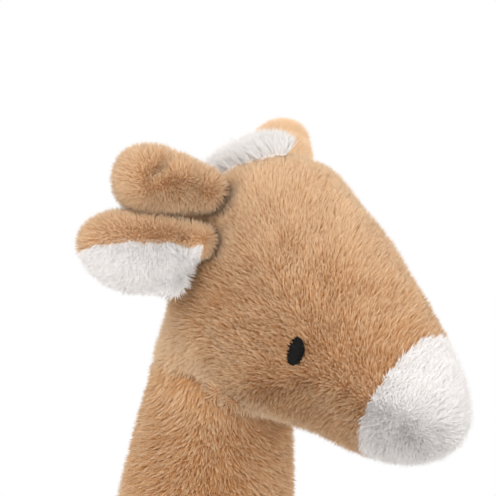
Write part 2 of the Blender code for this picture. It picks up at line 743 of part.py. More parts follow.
def tail_place():
    """Centre of the ball that roots the tail, just off the torso's back."""
    share = TAIL_HEIGHT / NECK_PIVOT_HEIGHT
    rows = [row for row in TORSO_SHARES if row[0] <= share]
    row = len(rows) - 1
    near, far = TORSO_SHARES[row], TORSO_SHARES[row + 1]
    place = row + (share - near[0]) / (far[0] - near[0])
    _, _, depth, shift = between(TORSO_SHARES, place)
    return Vector((0.0, TORSO_SEAT_SHIFT * shift + TORSO_HALF_DEPTH * depth + TAIL_STAND_OFF, TAIL_HEIGHT))


def torso_form(name, inset, drop=0.0):
    """The torso's solid with its skin moved in by the inset, and its foot moved down by a drop."""
    rings = torso_rings(inset)
    if drop:
        rings.insert(0, [point - UP * drop for point in rings[0]])
    form = lofted(name, rings)
    hips = [lap_room(inset)] if inset > 0.0 else [hip_room(side) for side in (RIGHT, LEFT)]
    return cut(form, "DIFFERENCE", *hips, *(shoulder_room(side, inset) for side in (RIGHT, LEFT)))


def bag_form(name, inset, drop):
    """The pellet bag in the seat, with its foot moved down by a drop."""
    base = PILE_COVER + 2.0 * FIT_GAP + inset
    centre = Vector((0.0, BAG_BEHIND, base))
    rings = []
    for share, size in BAG_SHARES:
        place = centre + UP * (share * (BAG_HEIGHT - 2.0 * inset))
        width = 0.0 if size == 0.0 else BAG_HALF_WIDTH * size - inset
        depth = BAG_HALF_DEPTH * size - inset
        rings.append(oval(place, ACROSS, BACK, width, depth, depth, SMALL_SIDES))
    if drop:
        rings.insert(0, [point - UP * drop for point in rings[0]])
    return lofted(name, rings)


def make_torso(joint):
    """Seat, belly and back panels of the cover, the fibre core, and the pellets in their bag."""
    socket = ball("tail_socket", tail_place(), TAIL_ROOT_RADIUS + FIT_GAP, SMALL_SIDES)
    skin = torso_form("torso_skin", 0.0)
    top = NECK_PIVOT_HEIGHT + NECK_PIVOT_RADIUS + OVERRUN
    half = BELLY_PANEL_HALF_WIDTH
    wide, deep = 2.0 * TORSO_HALF_WIDTH, -2.0 * TORSO_HALF_DEPTH
    inside = half - FIT_GAP / 2.0
    outside = half + FIT_GAP / 2.0
    base_top, cover_foot = PILE_COVER - FIT_GAP / 2.0, PILE_COVER + FIT_GAP / 2.0
    base_box = slab("base_box", (-wide, deep, -OVERRUN), (wide, -deep, base_top))
    piece(cut(copy_of(skin, "base"), "INTERSECT", base_box), "seat_panel", "plush_tan", joint)
    base_gap = slab("base_gap", (-wide, deep, -OVERRUN), (wide, -deep, cover_foot))
    cut(skin, "DIFFERENCE", torso_form("torso_cavity", PILE_COVER, OVERRUN), socket, base_gap)
    belly_box = slab("belly_box", (-inside, deep, -OVERRUN), (inside, -FIT_GAP / 2.0, top))
    belly = cut(copy_of(skin, "belly"), "INTERSECT", belly_box)
    piece(belly, "belly_panel", "plush_tan", joint)
    cut(skin, "DIFFERENCE", slab("belly_gap", (-outside, deep, -OVERRUN), (outside, FIT_GAP / 2.0, top)))
    for side in (RIGHT, LEFT):
        part = cut(copy_of(skin, "half"), "INTERSECT", half_space(side, FIT_GAP / 2.0))
        piece(part, f"torso_cover_{SIDE_NAMES[side]}", "plush_tan", joint)
    core = cut(torso_form("torso_core", PILE_COVER + FIT_GAP), "DIFFERENCE", socket)
    cut(core, "DIFFERENCE", bag_form("bag_room", -FIT_GAP, OVERRUN))
    piece(core, "torso_stuffing", "fibre_fill", joint)
    bag = cut(bag_form("bag", 0.0, 0.0), "DIFFERENCE", bag_form("bag_inside", BAG_WALL, 0.0))
    mouth_base = Vector((0.0, BAG_BEHIND, BAG_HEIGHT / 2.0))
    mouth_walls = [(0.0, BAG_MOUTH_RADIUS), (BAG_HEIGHT, BAG_MOUTH_RADIUS)]
    mouth = turned("mouth", mouth_base, UP, mouth_walls, SMALL_SIDES)
    piece(cut(bag, "DIFFERENCE", mouth), "seat_pellet_bag", "pellet_bag", joint)
    piece(bag_form("bag_pellets", BAG_WALL + FIT_GAP, 0.0), "seat_pellets", "pellets", joint)


# Legs
def make_leg(name, joint, line, sizes, kept_out):
    """A tan leg with a white hoof, its fibre core, and the pellets in the hoof."""
    length, root_radius, hoof_radius, hoof_share = sizes
    place = joint.location.copy()
    stations = rounded_root(root_radius)
    stations += [(share * length, radius * root_radius) for share, radius in LEG_SHARES]
    stations += [(share * length, radius * hoof_radius) for share, radius in HOOF_SHARES]
    whole = cut(turned("leg_whole", place, line, stations, LEG_SIDES), "DIFFERENCE", *kept_out)
    room = turned("leg_room", place, line, grown(stations, PILE_COVER), inner(LEG_SIDES))
    fill = turned("leg_fill", place, line, grown(stations, PILE_COVER + FIT_GAP), inner(LEG_SIDES))
    room_walls = [copy_of(tool, "leg_wall") for tool in kept_out]
    for tool in room_walls:
        tool.data.transform(Matrix.Translation(inner_shift(joint, tool)))
    cut(room, "DIFFERENCE", *room_walls)
    skin = cut(whole, "DIFFERENCE", room)
    seam = hoof_share * length
    wide = 3.0 * root_radius

    def span(start, stop):
        return turned("span", place, line, [(start, wide), (stop, wide)], SMALL_SIDES)

    leg = cut(copy_of(skin, "leg_cover"), "INTERSECT", span(-wide, seam - FIT_GAP / 2.0))
    piece(leg, f"{name}_cover", "plush_tan", joint)
    hoof = cut(copy_of(skin, "hoof_cover"), "INTERSECT", span(seam + FIT_GAP / 2.0, length + wide))
    piece(hoof, f"{name}_hoof", "plush_white", joint)
    fill_walls = [copy_of(tool, "leg_wall") for tool in room_walls]
    for tool in fill_walls:
        tool.data.transform(Matrix.Translation(inner_shift(joint, tool) * (FIT_GAP / PILE_COVER)))
    cut(fill, "DIFFERENCE", *fill_walls)
    core = cut(copy_of(fill, "leg_core"), "INTERSECT", span(-wide, seam - FIT_GAP / 2.0))
    piece(core, f"{name}_stuffing", "fibre_fill", joint)
    load = cut(copy_of(fill, "hoof_load"), "INTERSECT", span(seam + FIT_GAP / 2.0, length + wide))
    piece(load, f"{name}_pellets", "pellets", joint)


def inner_shift(joint, tool):
    """How a wall that a leg keeps clear of moves to leave the cover its thickness."""
    if tool.data.name.startswith("floor"):
        return UP * PILE_COVER
    return ACROSS * (PILE_COVER if joint.location.x > 0.0 else -PILE_COVER)


def make_hind_leg(side, joint):
    """A hind leg that lies forward on the floor."""
    reach = 2.0 * HIND_LEG_LENGTH
    floor = slab("floor", (-reach, -reach, -reach), (reach, reach, 0.0))
    name = f"hind_leg_{SIDE_NAMES[side]}"
    line = hind_leg_line(side)
    sizes = (HIND_LEG_LENGTH, HIND_LEG_RADIUS, HIND_HOOF_RADIUS, HIND_HOOF_SHARE)
    make_leg(name, joint, line, sizes, [floor])


def make_front_leg(side, joint):
    """A front leg that hangs from the shoulder."""
    out, ahead = tan(FRONT_LEG_SPREAD), tan(FRONT_LEG_SWING)
    line = Vector((side * out, -ahead, -1.0)).normalized()
    name = f"front_leg_{SIDE_NAMES[side]}"
    wall = shoulder_clear(side)
    sizes = (FRONT_LEG_LENGTH, FRONT_LEG_RADIUS, FRONT_HOOF_RADIUS, FRONT_HOOF_SHARE)
    make_leg(name, joint, line, sizes, [wall])


def make_tail(joint):
    """A thin tail with a white tuft, rooted in the back by a ball."""
    line = Vector((0.0, cos(TAIL_DROP), -sin(TAIL_DROP)))
    place = joint.location.copy()
    stem = rounded_root(TAIL_ROOT_RADIUS)
    stem += [(share * TAIL_LENGTH, radius * TAIL_ROOT_RADIUS) for share, radius in TAIL_SHARES]
    piece(turned("tail_stem", place, line, stem, SMALL_SIDES), "tail_stem", "plush_tan", joint)
    tuft = [(share * TAIL_LENGTH, radius * TAIL_TUFT_RADIUS) for share, radius in TUFT_SHARES]
    tuft[0] = (tuft[0][0] + FIT_GAP, tuft[0][1])
    piece(turned("tail_tuft", place, line, tuft, SMALL_SIDES), "tail_tuft", "plush_white", joint)


def main():
    """Builds every piece and clears the guides away."""
    for old in list(bpy.data.objects):
        bpy.data.objects.remove(old)
    torso = joint_at("torso_root", Vector((0.0, 0.0, 0.0)))
    neck = joint_at("neck_lean", NECK_PIVOT)
    head = joint_at("head_turn", COLLAR)
    make_torso(torso)
    make_neck(neck)
    sockets = []
    for side in (RIGHT, LEFT):
        sockets.append(ball("horn_socket", horn_place(side), HORN_ROOT_RADIUS + FIT_GAP, SMALL_SIDES))
        sockets.append(ball("ear_socket", ear_place(side), EAR_ROOT_RADIUS + FIT_GAP, SMALL_SIDES))
    make_head(head, sockets)
    make_mane(head)
    for side in (RIGHT, LEFT):
        tag = SIDE_NAMES[side]
        make_horn(side, joint_at(f"horn_bend_{tag}", horn_place(side)))
        make_ear(side, joint_at(f"ear_fold_{tag}", ear_place(side)))
        make_hind_leg(side, joint_at(f"hip_{tag}", hip_place(side)))
        make_front_leg(side, joint_at(f"shoulder_{tag}", shoulder_place(side)))
    make_tail(joint_at("tail_wag", tail_place()))
    for guide in guides:
        bpy.data.objects.remove(guide)


main()
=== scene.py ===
import logging
from dataclasses import dataclass, field
from enum import Enum
from math import pi, radians, tan

import bmesh
import bpy
import numpy as np
from mathutils import Matrix, Vector
from mathutils.bvhtree import BVHTree
from mathutils.kdtree import KDTree
from mathutils.noise import noise_vector, seed_set


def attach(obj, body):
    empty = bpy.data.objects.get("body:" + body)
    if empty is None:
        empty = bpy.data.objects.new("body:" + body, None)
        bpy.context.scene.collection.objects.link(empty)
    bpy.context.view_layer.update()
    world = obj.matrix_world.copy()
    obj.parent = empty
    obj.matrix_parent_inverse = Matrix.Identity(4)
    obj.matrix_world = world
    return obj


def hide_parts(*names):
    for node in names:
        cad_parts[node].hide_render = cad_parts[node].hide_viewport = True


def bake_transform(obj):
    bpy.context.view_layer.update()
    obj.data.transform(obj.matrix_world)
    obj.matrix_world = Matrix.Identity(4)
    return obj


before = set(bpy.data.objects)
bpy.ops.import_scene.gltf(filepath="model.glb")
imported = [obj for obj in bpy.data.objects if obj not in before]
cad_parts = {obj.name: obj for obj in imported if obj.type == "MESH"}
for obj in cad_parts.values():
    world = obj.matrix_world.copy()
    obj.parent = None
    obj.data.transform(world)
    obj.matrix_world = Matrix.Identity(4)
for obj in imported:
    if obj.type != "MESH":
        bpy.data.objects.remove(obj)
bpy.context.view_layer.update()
log = logging.getLogger("giraffe")

PILE_MAP = "OFBake"
NOISE_SEED = 7
WELD = 0.000001
NOTHING = 1e-9
FAR_OFF = 99.0
WHITE = (1.0, 1.0, 1.0, 1.0)
FLOOR_CLEAR = 0.0003
EVEN_STRIDES = (0.7548776662, 0.5698402910)
STUFFING_PRESSURE = 4.0
STUFFING_FRAMES = 20
IMAGE_SIDE = 496
IMAGE_SCALE = 0.00038
IMAGE_CENTRE = (248.0, 248.0)
CROWN_PIXEL = (261.0, 188.6)
CROWN = Vector((0.0, -0.0415, 0.33998))
HEAD_LINE = (0.0, -0.8387, -0.5446)
HEAD_UP = (0.0, -0.5446, 0.8387)
MUZZLE_HEIGHT = 0.2835
NECK_LINE = (0.0, -0.13917, 0.99027)
FLAP_LINE = (0.0, -0.45, -0.89)
NAPE_BACK = (0.0, 0.0110, 0.2700)
NAPE_SIDE = (-0.0233, -0.0107, 0.2695)
NAPE_FRONT = (-0.0297, -0.0290, 0.2685)
NAPE_REACH = 0.0085


class Side(Enum):
    """A side of the giraffe, with the sign of its X."""

    LEFT = "left"
    RIGHT = "right"

    @property
    def sign(self) -> int:
        """The sign of X on this side."""
        return 1 if self is Side.LEFT else -1


class Coat(Enum):
    """The pile fabrics, by the record's material slot."""

    TAN = "plush_tan"
    WHITE = "plush_white"


class Wire:
    """A shader socket that takes part in Python sums on single values."""

    def __init__(self, sheet: "Sheet", socket: bpy.types.NodeSocket) -> None:
        """Keeps the sheet that the socket is on."""
        self.sheet, self.socket = sheet, socket

    def sum(self, operation: str, *terms: "Wire | float") -> "Wire":
        """Adds a Math node.

        Args:
            operation: The Math node's operation.
            terms: Its values or links, in order.

        Returns:
            The node's result.
        """
        return self.sheet.add("ShaderNodeMath", {"operation": operation}, dict(enumerate(terms)))["Value"]

    def __add__(self, other: "Wire | float") -> "Wire":
        """Sum of two values."""
        return self.sum("ADD", self, other)

    def __sub__(self, other: "Wire | float") -> "Wire":
        """Difference of two values."""
        return self.sum("SUBTRACT", self, other)

    def __rsub__(self, other: float) -> "Wire":
        """A number less this value."""
        return self.sum("SUBTRACT", other, self)

    def __mul__(self, other: "Wire | float") -> "Wire":
        """Product of two values."""
        return self.sum("MULTIPLY", self, other)

    def __pow__(self, other: float) -> "Wire":
        """This value raised to a power."""
        return self.sum("POWER", self, other)

    def clamp(self) -> "Wire":
        """This value held between 0 and 1."""
        low = self.sum("MAXIMUM", self, 0.0)
        return low.sum("MINIMUM", low, 1.0)

    __radd__ = __add__
    __rmul__ = __mul__


@dataclass
class Sheet:
    """The node tree of one material or of the world."""

    tree: bpy.types.NodeTree

    @classmethod
    def of_material(cls, name: str) -> tuple[bpy.types.Material, "Sheet"]:
        """Makes an empty material.

        Args:
            name: The material's name.

        Returns:
            The material and its sheet.
        """
        made = bpy.data.materials.new(name)
        made.use_nodes = True
        made.node_tree.nodes.clear()
        return made, cls(made.node_tree)

    def add(self, kind: str, settings: dict | None = None, sockets: dict | None = None) -> dict[str, Wire]:
        """Adds any node.

        Args:
            kind: The node's type.
            settings: Its properties, set first; "stops" fills a ramp with (place, colour) pairs.
            sockets: Values or wires for its inputs, by name or by place.

        Returns:
            Its outputs by name.
        """
        node = self.tree.nodes.new(kind)
        for name, value in (settings or {}).items():
            if name == "stops":
                ramp = node.color_ramp.elements
                while len(ramp) > len(value):
                    ramp.remove(ramp[-1])
                for i, (place, colour) in enumerate(value):
                    stop = ramp[i] if i < len(ramp) else ramp.new(place)
                    stop.position, stop.color = place, (*colour, 1.0)[:4]
            else:
                setattr(node, name, value)
        usable = [socket for socket in node.inputs if socket.enabled]
        for key, value in (sockets or {}).items():
            socket = usable[key] if isinstance(key, int) else next(s for s in usable if s.name == key)
            if isinstance(value, Wire):
                self.tree.links.new(value.socket, socket)
            else:
                socket.default_value = value
        return {socket.name: Wire(self, socket) for socket in node.outputs if socket.enabled}

    def finish(self, surface: Wire, kind: str = "ShaderNodeOutputMaterial") -> None:
        """Links a shader to the output."""
        self.add(kind, {}, {"Surface": surface})

    def noise(self, place: Wire, scale: float, detail: float = 2.0) -> Wire:
        """Noise at a place.

        Args:
            place: The coordinates that it reads.
            scale: Its scale, in waves a metre.
            detail: Its octaves.

        Returns:
            The noise, from 0 to 1.
        """
        made = self.add("ShaderNodeTexNoise", {}, {"Vector": place, "Scale": scale, "Detail": detail})
        return made.get("Fac") or made["Factor"]

    def blend(self, share: "Wire | float", first: object, second: object, way: str = "MIX") -> Wire:
        """Mixes two colours.

        Args:
            share: How much of the second there is.
            first: A colour or a wire.
            second: A colour or a wire.
            way: The Mix node's blend type.

        Returns:
            The mixed colour.
        """
        settings = {"data_type": "RGBA", "blend_type": way}
        return self.add("ShaderNodeMix", settings, {"Factor": share, "A": first, "B": second})["Result"]


@dataclass(frozen=True)
class PileFinish:
    """Dyed fibres, whose map runs from the shade across to the tip upwards; the colour darkens from tip to
    root as painted shade deep in the pile.
    """

    name: str
    root: tuple[float, float, float]
    middle: tuple[float, float, float]
    tip: tuple[float, float, float]
    dark: tuple[float, float, float]
    sheen: float = 0.25

    def make(self) -> bpy.types.Material:
        """Builds the fibres' material.

        Returns:
            The material.
        """
        made, sheet = Sheet.of_material(self.name)
        place = sheet.add("ShaderNodeUVMap", {"uv_map": PILE_MAP})["UV"]
        split = sheet.add("ShaderNodeSeparateXYZ", {}, {"Vector": place})
        shade, along = split["X"], split["Y"]
        # Root and middle are darker and deeper than the tip: painted shade deep in the pile.
        stops = [(0.0, self.root), (0.5, self.middle), (0.93, self.tip)]
        fibre = sheet.add("ShaderNodeValToRGB", {"stops": stops}, {0: along})["Color"]
        # The dye ramp darkens fibres of low shade: random tone, and also the painted light and shade set by
        # each part's shade and matting.
        stops = [(0.0, self.dark), (0.55, (0.93, 0.93, 0.93)), (1.0, (1.0, 1.0, 1.0))]
        dye = sheet.add("ShaderNodeValToRGB", {"stops": stops}, {0: shade})["Color"]
        shader = sheet.add("ShaderNodeBsdfPrincipled", {}, {
            "Base Color": sheet.blend(1.0, fibre, dye, "MULTIPLY"),
            "Roughness": 0.9,
            "Specular IOR Level": 0.15,
            "Sheen Weight": self.sheen,
            "Sheen Roughness": 0.6,
        })
        sheet.finish(shader["BSDF"])
        return made


@dataclass(frozen=True)
class BackingFinish:
    """Knitted backing that the pile grows from, seen only between fibres; its colours are kept darker than
    the pile's as painted shade deep in the pile.
    """

    name: str
    shadow: tuple[float, float, float]
    yarn: tuple[float, float, float]
    loops: float = 900.0

    def make(self) -> bpy.types.Material:
        """Builds the knit's material.

        Returns:
            The material.
        """
        made, sheet = Sheet.of_material(self.name)
        place = sheet.add("ShaderNodeTexCoord")["Object"]
        patches = sheet.noise(place, 160.0, 3.0)
        knit = sheet.add("ShaderNodeTexVoronoi", {}, {"Vector": place, "Scale": self.loops})["Distance"]
        share = patches * 0.7 + knit * 0.5
        bump = sheet.add("ShaderNodeBump", {}, {"Strength": 0.5, "Distance": 0.0004, "Height": knit})
        shader = sheet.add("ShaderNodeBsdfPrincipled", {}, {
            "Base Color": sheet.blend(share, (*self.shadow, 1.0), (*self.yarn, 1.0)),
            "Roughness": 0.95,
            "Specular IOR Level": 0.1,
            "Normal": bump["Normal"],
        })
        sheet.finish(shader["BSDF"])
        return made


@dataclass(frozen=True)
class ThreadFinish:
    """Satin embroidery thread, with a faint gloss."""

    name: str = "eye_satin_thread"
    deep: tuple[float, float, float] = (0.0022, 0.0019, 0.0017)
    worn: tuple[float, float, float] = (0.009, 0.009, 0.010)

    def make(self) -> bpy.types.Material:
        """Builds the thread's material.

        Returns:
            The material.
        """
        made, sheet = Sheet.of_material(self.name)
        place = sheet.add("ShaderNodeTexCoord")["Object"]
        share = sheet.noise(place, 900.0, 3.0) ** 2.0
        twist = sheet.noise(place, 2600.0, 1.0)
        bump = sheet.add("ShaderNodeBump", {}, {"Strength": 0.4, "Distance": 0.0002, "Height": twist})
        shader = sheet.add("ShaderNodeBsdfPrincipled", {}, {
            "Base Color": sheet.blend(share, (*self.deep, 1.0), (*self.worn, 1.0)),
            "Roughness": 0.5 + twist * 0.2,
            "Specular IOR Level": 0.1,
            "Normal": bump["Normal"],
        })
        sheet.finish(shader["BSDF"])
        return made


# Each pile's root and middle colours are darker than its tip as painted shade deep in the pile.
PILES = {
    Coat.TAN: PileFinish(
        "tan_pile", (0.53, 0.265, 0.115), (0.67, 0.405, 0.22), (0.77, 0.57, 0.38), (0.75, 0.59, 0.43), 0.05,
    ),
    Coat.WHITE: PileFinish(
        "white_pile", (0.85, 0.825, 0.81), (0.905, 0.885, 0.875), (0.93, 0.92, 0.915), (0.76, 0.75, 0.745),
    ),
}
# Backing colours darker than the piles: painted shade between the fibres.
BACKINGS = {
    Coat.TAN: BackingFinish("tan_backing", (0.44, 0.22, 0.10), (0.58, 0.32, 0.15)),
    Coat.WHITE: BackingFinish("white_backing", (0.72, 0.70, 0.69), (0.83, 0.81, 0.80)),
}


class Wardrobe:
    """Makes each finish once and hands it out."""

    def __init__(self) -> None:
        """Starts with nothing made."""
        self.made: dict[str, bpy.types.Material] = {}

    def get(self, finish: PileFinish | BackingFinish | ThreadFinish) -> bpy.types.Material:
        """The material of a finish, made the first time."""
        if finish.name not in self.made:
            self.made[finish.name] = finish.make()
        return self.made[finish.name]


WARDROBE = Wardrobe()


def pick(*chosen: bpy.types.Object) -> None:
    """Makes these objects the only selected ones, and the first the active one."""
    bpy.ops.object.select_all(action="DESELECT")
    for body in chosen:
        body.select_set(True)
    bpy.context.view_layer.objects.active = chosen[0]


def points_of(mesh: bpy.types.Mesh) -> np.ndarray:
    """The places of a mesh's points, one row each."""
    flat = np.empty(len(mesh.vertices) * 3, np.float32)
    mesh.vertices.foreach_get("co", flat)
    return flat.reshape(-1, 3).astype(float)


def normals_of(mesh: bpy.types.Mesh) -> np.ndarray:
    """The normals at a mesh's points, one row each."""
    flat = np.empty(len(mesh.vertices) * 3, np.float32)
    mesh.vertices.foreach_get("normal", flat)
    return flat.reshape(-1, 3).astype(float)


def put_points(mesh: bpy.types.Mesh, points: np.ndarray) -> None:
    """Moves a mesh's points to these places."""
    mesh.vertices.foreach_set("co", points.astype(np.float32).ravel())
    mesh.update()


def unit(rows: np.ndarray) -> np.ndarray:
    """Rows scaled to a length of one."""
    return rows / np.maximum(np.linalg.norm(rows, axis=1, keepdims=True), NOTHING)


def coat_of(node: str) -> Coat:
    """The pile that a CAD cover is made of."""
    return Coat(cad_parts[node].data.materials[0].name.split(".")[0])


@dataclass(frozen=True)
class Press:
    """A dent or a swelling along a line of the right side's skin, and its mirror image on the left."""

    start: tuple[float, float, float]
    end: tuple[float, float, float]
    rise: float
    reach: float
    way: tuple[float, float, float] | None = None

    def moves(self, points: np.ndarray, normals: np.ndarray) -> np.ndarray:
        """How each point is moved, along its normal or one fixed way.

        Args:
            points: The skin's points.
            normals: Its normals there.

        Returns:
            The moves.
        """
        here = points.copy()
        here[:, 0] = -np.abs(here[:, 0])
        line = np.array(self.end) - self.start
        share = np.clip((here - self.start) @ line / (line @ line), 0.0, 1.0)
        away = np.linalg.norm(here - self.start - share[:, None] * line, axis=1)
        rise = self.rise * np.exp(-((away / self.reach) ** 2))
        return rise[:, None] * (normals if self.way is None else np.array(self.way))


def nape_seam(rise: float) -> tuple[Press, ...]:
    """Draws a skin along the neck towards the seam under the head, round its back and side."""
    lines = ((NAPE_BACK, NAPE_SIDE), (NAPE_SIDE, NAPE_FRONT))
    return tuple(Press(start, end, rise, NAPE_REACH, NECK_LINE) for start, end in lines)


@dataclass(frozen=True)
class Tufting:
    """How fibres gather in tufts and take the dye, the same for every pile; the dye also carries painted
    shade where matting is high and painted light where it is low.
    """

    seed: int = 100
    fibres: int = 3
    drift_waves: float = 150.0
    drift: float = 0.17
    stray: float = 0.10
    tuft_length: float = 0.05
    fibre_length: float = 0.07
    patch_waves: float = 45.0
    patch_shade: float = 0.22
    tuft_shade: float = 0.15
    fibre_shade: float = 0.14
    even_shade: float = 0.8
    pull: tuple[float, float] = (0.05, 0.4)
    matted_pull: float = 0.45
    # The next two paint light and shade into the dye: every fibre is lifted paler as painted light, and
    # darkened by its matting as painted shade.
    painted_light_lift: float = 0.10
    matted_painted_shade: float = 0.45
    white_share: float = 0.15
    tip_stray: float = 0.00016
    shades: tuple[float, float] = (0.03, 0.97)
    dyed_height: float = 0.8
    border_waves: float = 260.0
    border: float = 0.0011


TUFTS = Tufting()


@dataclass(frozen=True)
class Outlook:
    """The rays that tell whether a place on the skin shows: one that gets this far is enough."""

    seed: int = 7
    rays: int = 14
    start: float = 0.0015
    outward: float = 1.15
    reach: float = 0.0045


OUTLOOK = Outlook()


@dataclass
class Stuffed:
    """A sewn and stuffed part: a filled skin inside its CAD covers, and the pile that grows from it."""

    body: str
    covers: tuple[str, ...]
    fillings: tuple[str, ...] = ()
    comb: tuple[float, float, float] = (0.0, 0.0, -1.0)
    lean: float = tan(radians(18.0))
    inset: float = 0.0050
    wrap: float = 0.0015
    voxel: float = 0.003
    swell: float = 0.0013
    length: float = 0.0052
    density: float = 5.0e6
    width: float = 0.00048
    sparse: dict[str, float] = field(default_factory=dict)
    seed: int = 1
    title: str = ""
    # Dye tone of the part's pile; some parts set it lower or higher as painted shade or painted light.
    shade: float = 0.58
    # Matting of the pile, which also darkens its dye as painted shade.
    mats_and_shade: float = 0.3
    presses: tuple[Press, ...] = ()
    lap: tuple[float, float, float] = (0.0, 0.0, 0.0)
    skin: bpy.types.Object | None = None

    def copy_covers(self) -> bpy.types.Object:
        """Joins copies of the CAD solids that the skin stands for.

        Returns:
            One loose object.
        """
        twins = []
        for name in (*self.covers, *self.fillings):
            twin = bpy.data.objects.new(f"{name}_copy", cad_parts[name].data.copy())
            bpy.context.collection.objects.link(twin)
            twins.append(twin)
        pick(*twins)
        bpy.ops.object.join()
        joined = bpy.context.object
        joined.data.materials.clear()
        bpy.ops.object.mode_set(mode="EDIT")
        bpy.ops.mesh.select_all(action="SELECT")
        bpy.ops.mesh.remove_doubles(threshold=WELD)
        bpy.ops.object.mode_set(mode="OBJECT")
        return joined

    def remesh(self, body: bpy.types.Object, voxel: float) -> bpy.types.Object:
        """Wraps a body in one closed mesh of even squares.

        Args:
            body: What is wrapped.
            voxel: The squares' size.

        Returns:
            The largest shell.
        """
        pick(body)
        step = body.modifiers.new("wrap", "REMESH")
        step.mode, step.voxel_size = "VOXEL", voxel
        bpy.ops.object.modifier_apply(modifier=step.name)
        bpy.ops.object.mode_set(mode="EDIT")
        bpy.ops.mesh.select_all(action="SELECT")
        bpy.ops.mesh.separate(type="LOOSE")
        bpy.ops.object.mode_set(mode="OBJECT")
        shells = sorted(bpy.context.selected_objects, key=lambda o: (-o.dimensions.length, o.name))
        for spare in shells[1:]:
            bpy.data.objects.remove(spare)
        return shells[0]

    def draw_in(self, body: bpy.types.Object) -> None:
        """Moves the skin in to the roots of the pile and evens it."""
        pick(body)
        bpy.ops.object.mode_set(mode="EDIT")
        bpy.ops.mesh.select_all(action="SELECT")
        bpy.ops.transform.shrink_fatten(value=-self.inset)
        bpy.ops.mesh.vertices_smooth(factor=0.5, repeat=4)
        bpy.ops.object.mode_set(mode="OBJECT")

    def fill(self, body: bpy.types.Object) -> None:
        """Stuffs the skin by cloth pressure, with no point moved further than the swell."""
        scene = bpy.context.scene
        before = points_of(body.data)
        pick(body)
        step = body.modifiers.new("stuffing", "CLOTH")
        step.settings.use_pressure = True
        step.settings.uniform_pressure_force = STUFFING_PRESSURE
        step.settings.effector_weights.gravity = 0.0
        step.point_cache.frame_start, step.point_cache.frame_end = 1, STUFFING_FRAMES
        for moment in range(1, STUFFING_FRAMES + 1):
            scene.frame_set(moment)
        bpy.ops.object.modifier_apply(modifier=step.name)
        scene.frame_set(1)
        moved = points_of(body.data) - before
        far = np.maximum(np.linalg.norm(moved, axis=1, keepdims=True), NOTHING)
        put_points(body.data, before + moved * np.minimum(1.0, self.swell / far))

    def shape(self, body: bpy.types.Object) -> None:
        """Presses the part's dents and swellings into its finished skin."""
        points, normals = points_of(body.data), normals_of(body.data)
        for press in self.presses:
            points = points + press.moves(points, normals)
        put_points(body.data, points)

    def build_skin(self) -> bpy.types.Object:
        """Makes the stuffed skin and puts it in place of its CAD solids.

        Returns:
            The skin.
        """
        body = self.remesh(self.copy_covers(), self.wrap)
        self.draw_in(body)
        body = self.remesh(body, self.voxel)
        self.fill(body)
        pick(body)
        step = body.modifiers.new("rounding", "SUBSURF")
        step.levels = step.render_levels = 1
        bpy.ops.object.modifier_apply(modifier=step.name)
        self.shape(body)
        bpy.ops.object.shade_smooth()
        body.name = body.data.name = f"{self.title or self.body}_skin"
        body.data.materials.clear()
        coats = sorted({coat_of(name).value for name in self.covers})
        body.data.materials.append(WARDROBE.get(BACKINGS[Coat(coats[0])]))
        if len(coats) > 1:
            body.data.materials.append(WARDROBE.get(BACKINGS[Coat.WHITE]))
            finder, owners = self.finder()
            for face in body.data.polygons:
                owner = self.covers[owners[finder.find_nearest(face.center)[2]]]
                face.material_index = int(coat_of(owner) is Coat.WHITE)
        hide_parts(*self.covers, *self.fillings)
        self.hang(body)
        self.skin = body
        log.info("skin of %s: %d faces", self.title or self.body, len(body.data.polygons))
        return body

    def hang(self, piece: bpy.types.Object) -> None:
        """Makes a finished piece of this part follow its body."""
        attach(piece, self.body)

    def finder(self) -> tuple[BVHTree, np.ndarray]:
        """A search over the CAD covers.

        Returns:
            The tree, and the place in the covers' list of the cover that each of its faces is on.
        """
        points, faces, owners, start = [], [], [], 0
        for i, name in enumerate(self.covers):
            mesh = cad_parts[name].data
            here = points_of(mesh)
            mesh.calc_loop_triangles()
            flat = np.empty(len(mesh.loop_triangles) * 3, np.int32)
            mesh.loop_triangles.foreach_get("vertices", flat)
            points.append(here)
            faces.append(flat.reshape(-1, 3) + start)
            owners.append(np.full(len(flat) // 3, i))
            start += len(here)
        tree = BVHTree.FromPolygons(np.vstack(points).tolist(), np.vstack(faces).tolist(), all_triangles=True)
        return tree, np.concatenate(owners)

    def scatter(self, room: BVHTree | None) -> tuple[np.ndarray, np.ndarray]:
        """Chooses where fibres grow, evenly over the skin and not where it is shut away.

        Args:
            room: Every skin together, or None where the whole of this one can come to show.

        Returns:
            The roots and the skin's normals there.
        """
        rng = np.random.default_rng(self.seed)
        mesh = self.skin.data
        mesh.calc_loop_triangles()
        corners = np.empty(len(mesh.loop_triangles) * 3, np.int32)
        mesh.loop_triangles.foreach_get("vertices", corners)
        corners = corners.reshape(-1, 3)
        points, normals = points_of(mesh), normals_of(mesh)
        first, second, third = (points[corners[:, i]] for i in range(3))
        areas = np.linalg.norm(np.cross(second - first, third - first), axis=1) / 2.0
        if room is not None:
            areas = areas * self.open_share(points, normals, room)[corners].max(axis=1)
        total = areas.cumsum()
        count = int(total[-1] * self.density)
        chosen = np.searchsorted(total, (np.arange(count) + rng.random(count)) / count * total[-1])
        chosen = np.minimum(chosen, len(areas) - 1)
        step = np.arange(count)
        s, t = ((step * stride) % 1.0 for stride in EVEN_STRIDES)
        over = s + t > 1.0
        s, t = np.where(over, 1.0 - s, s)[:, None], np.where(over, 1.0 - t, t)[:, None]
        share = np.stack([1.0 - s - t, s, t])
        roots = sum(share[i] * points[corners[chosen, i]] for i in range(3))
        out = unit(sum(share[i] * normals[corners[chosen, i]] for i in range(3)))
        return roots, out

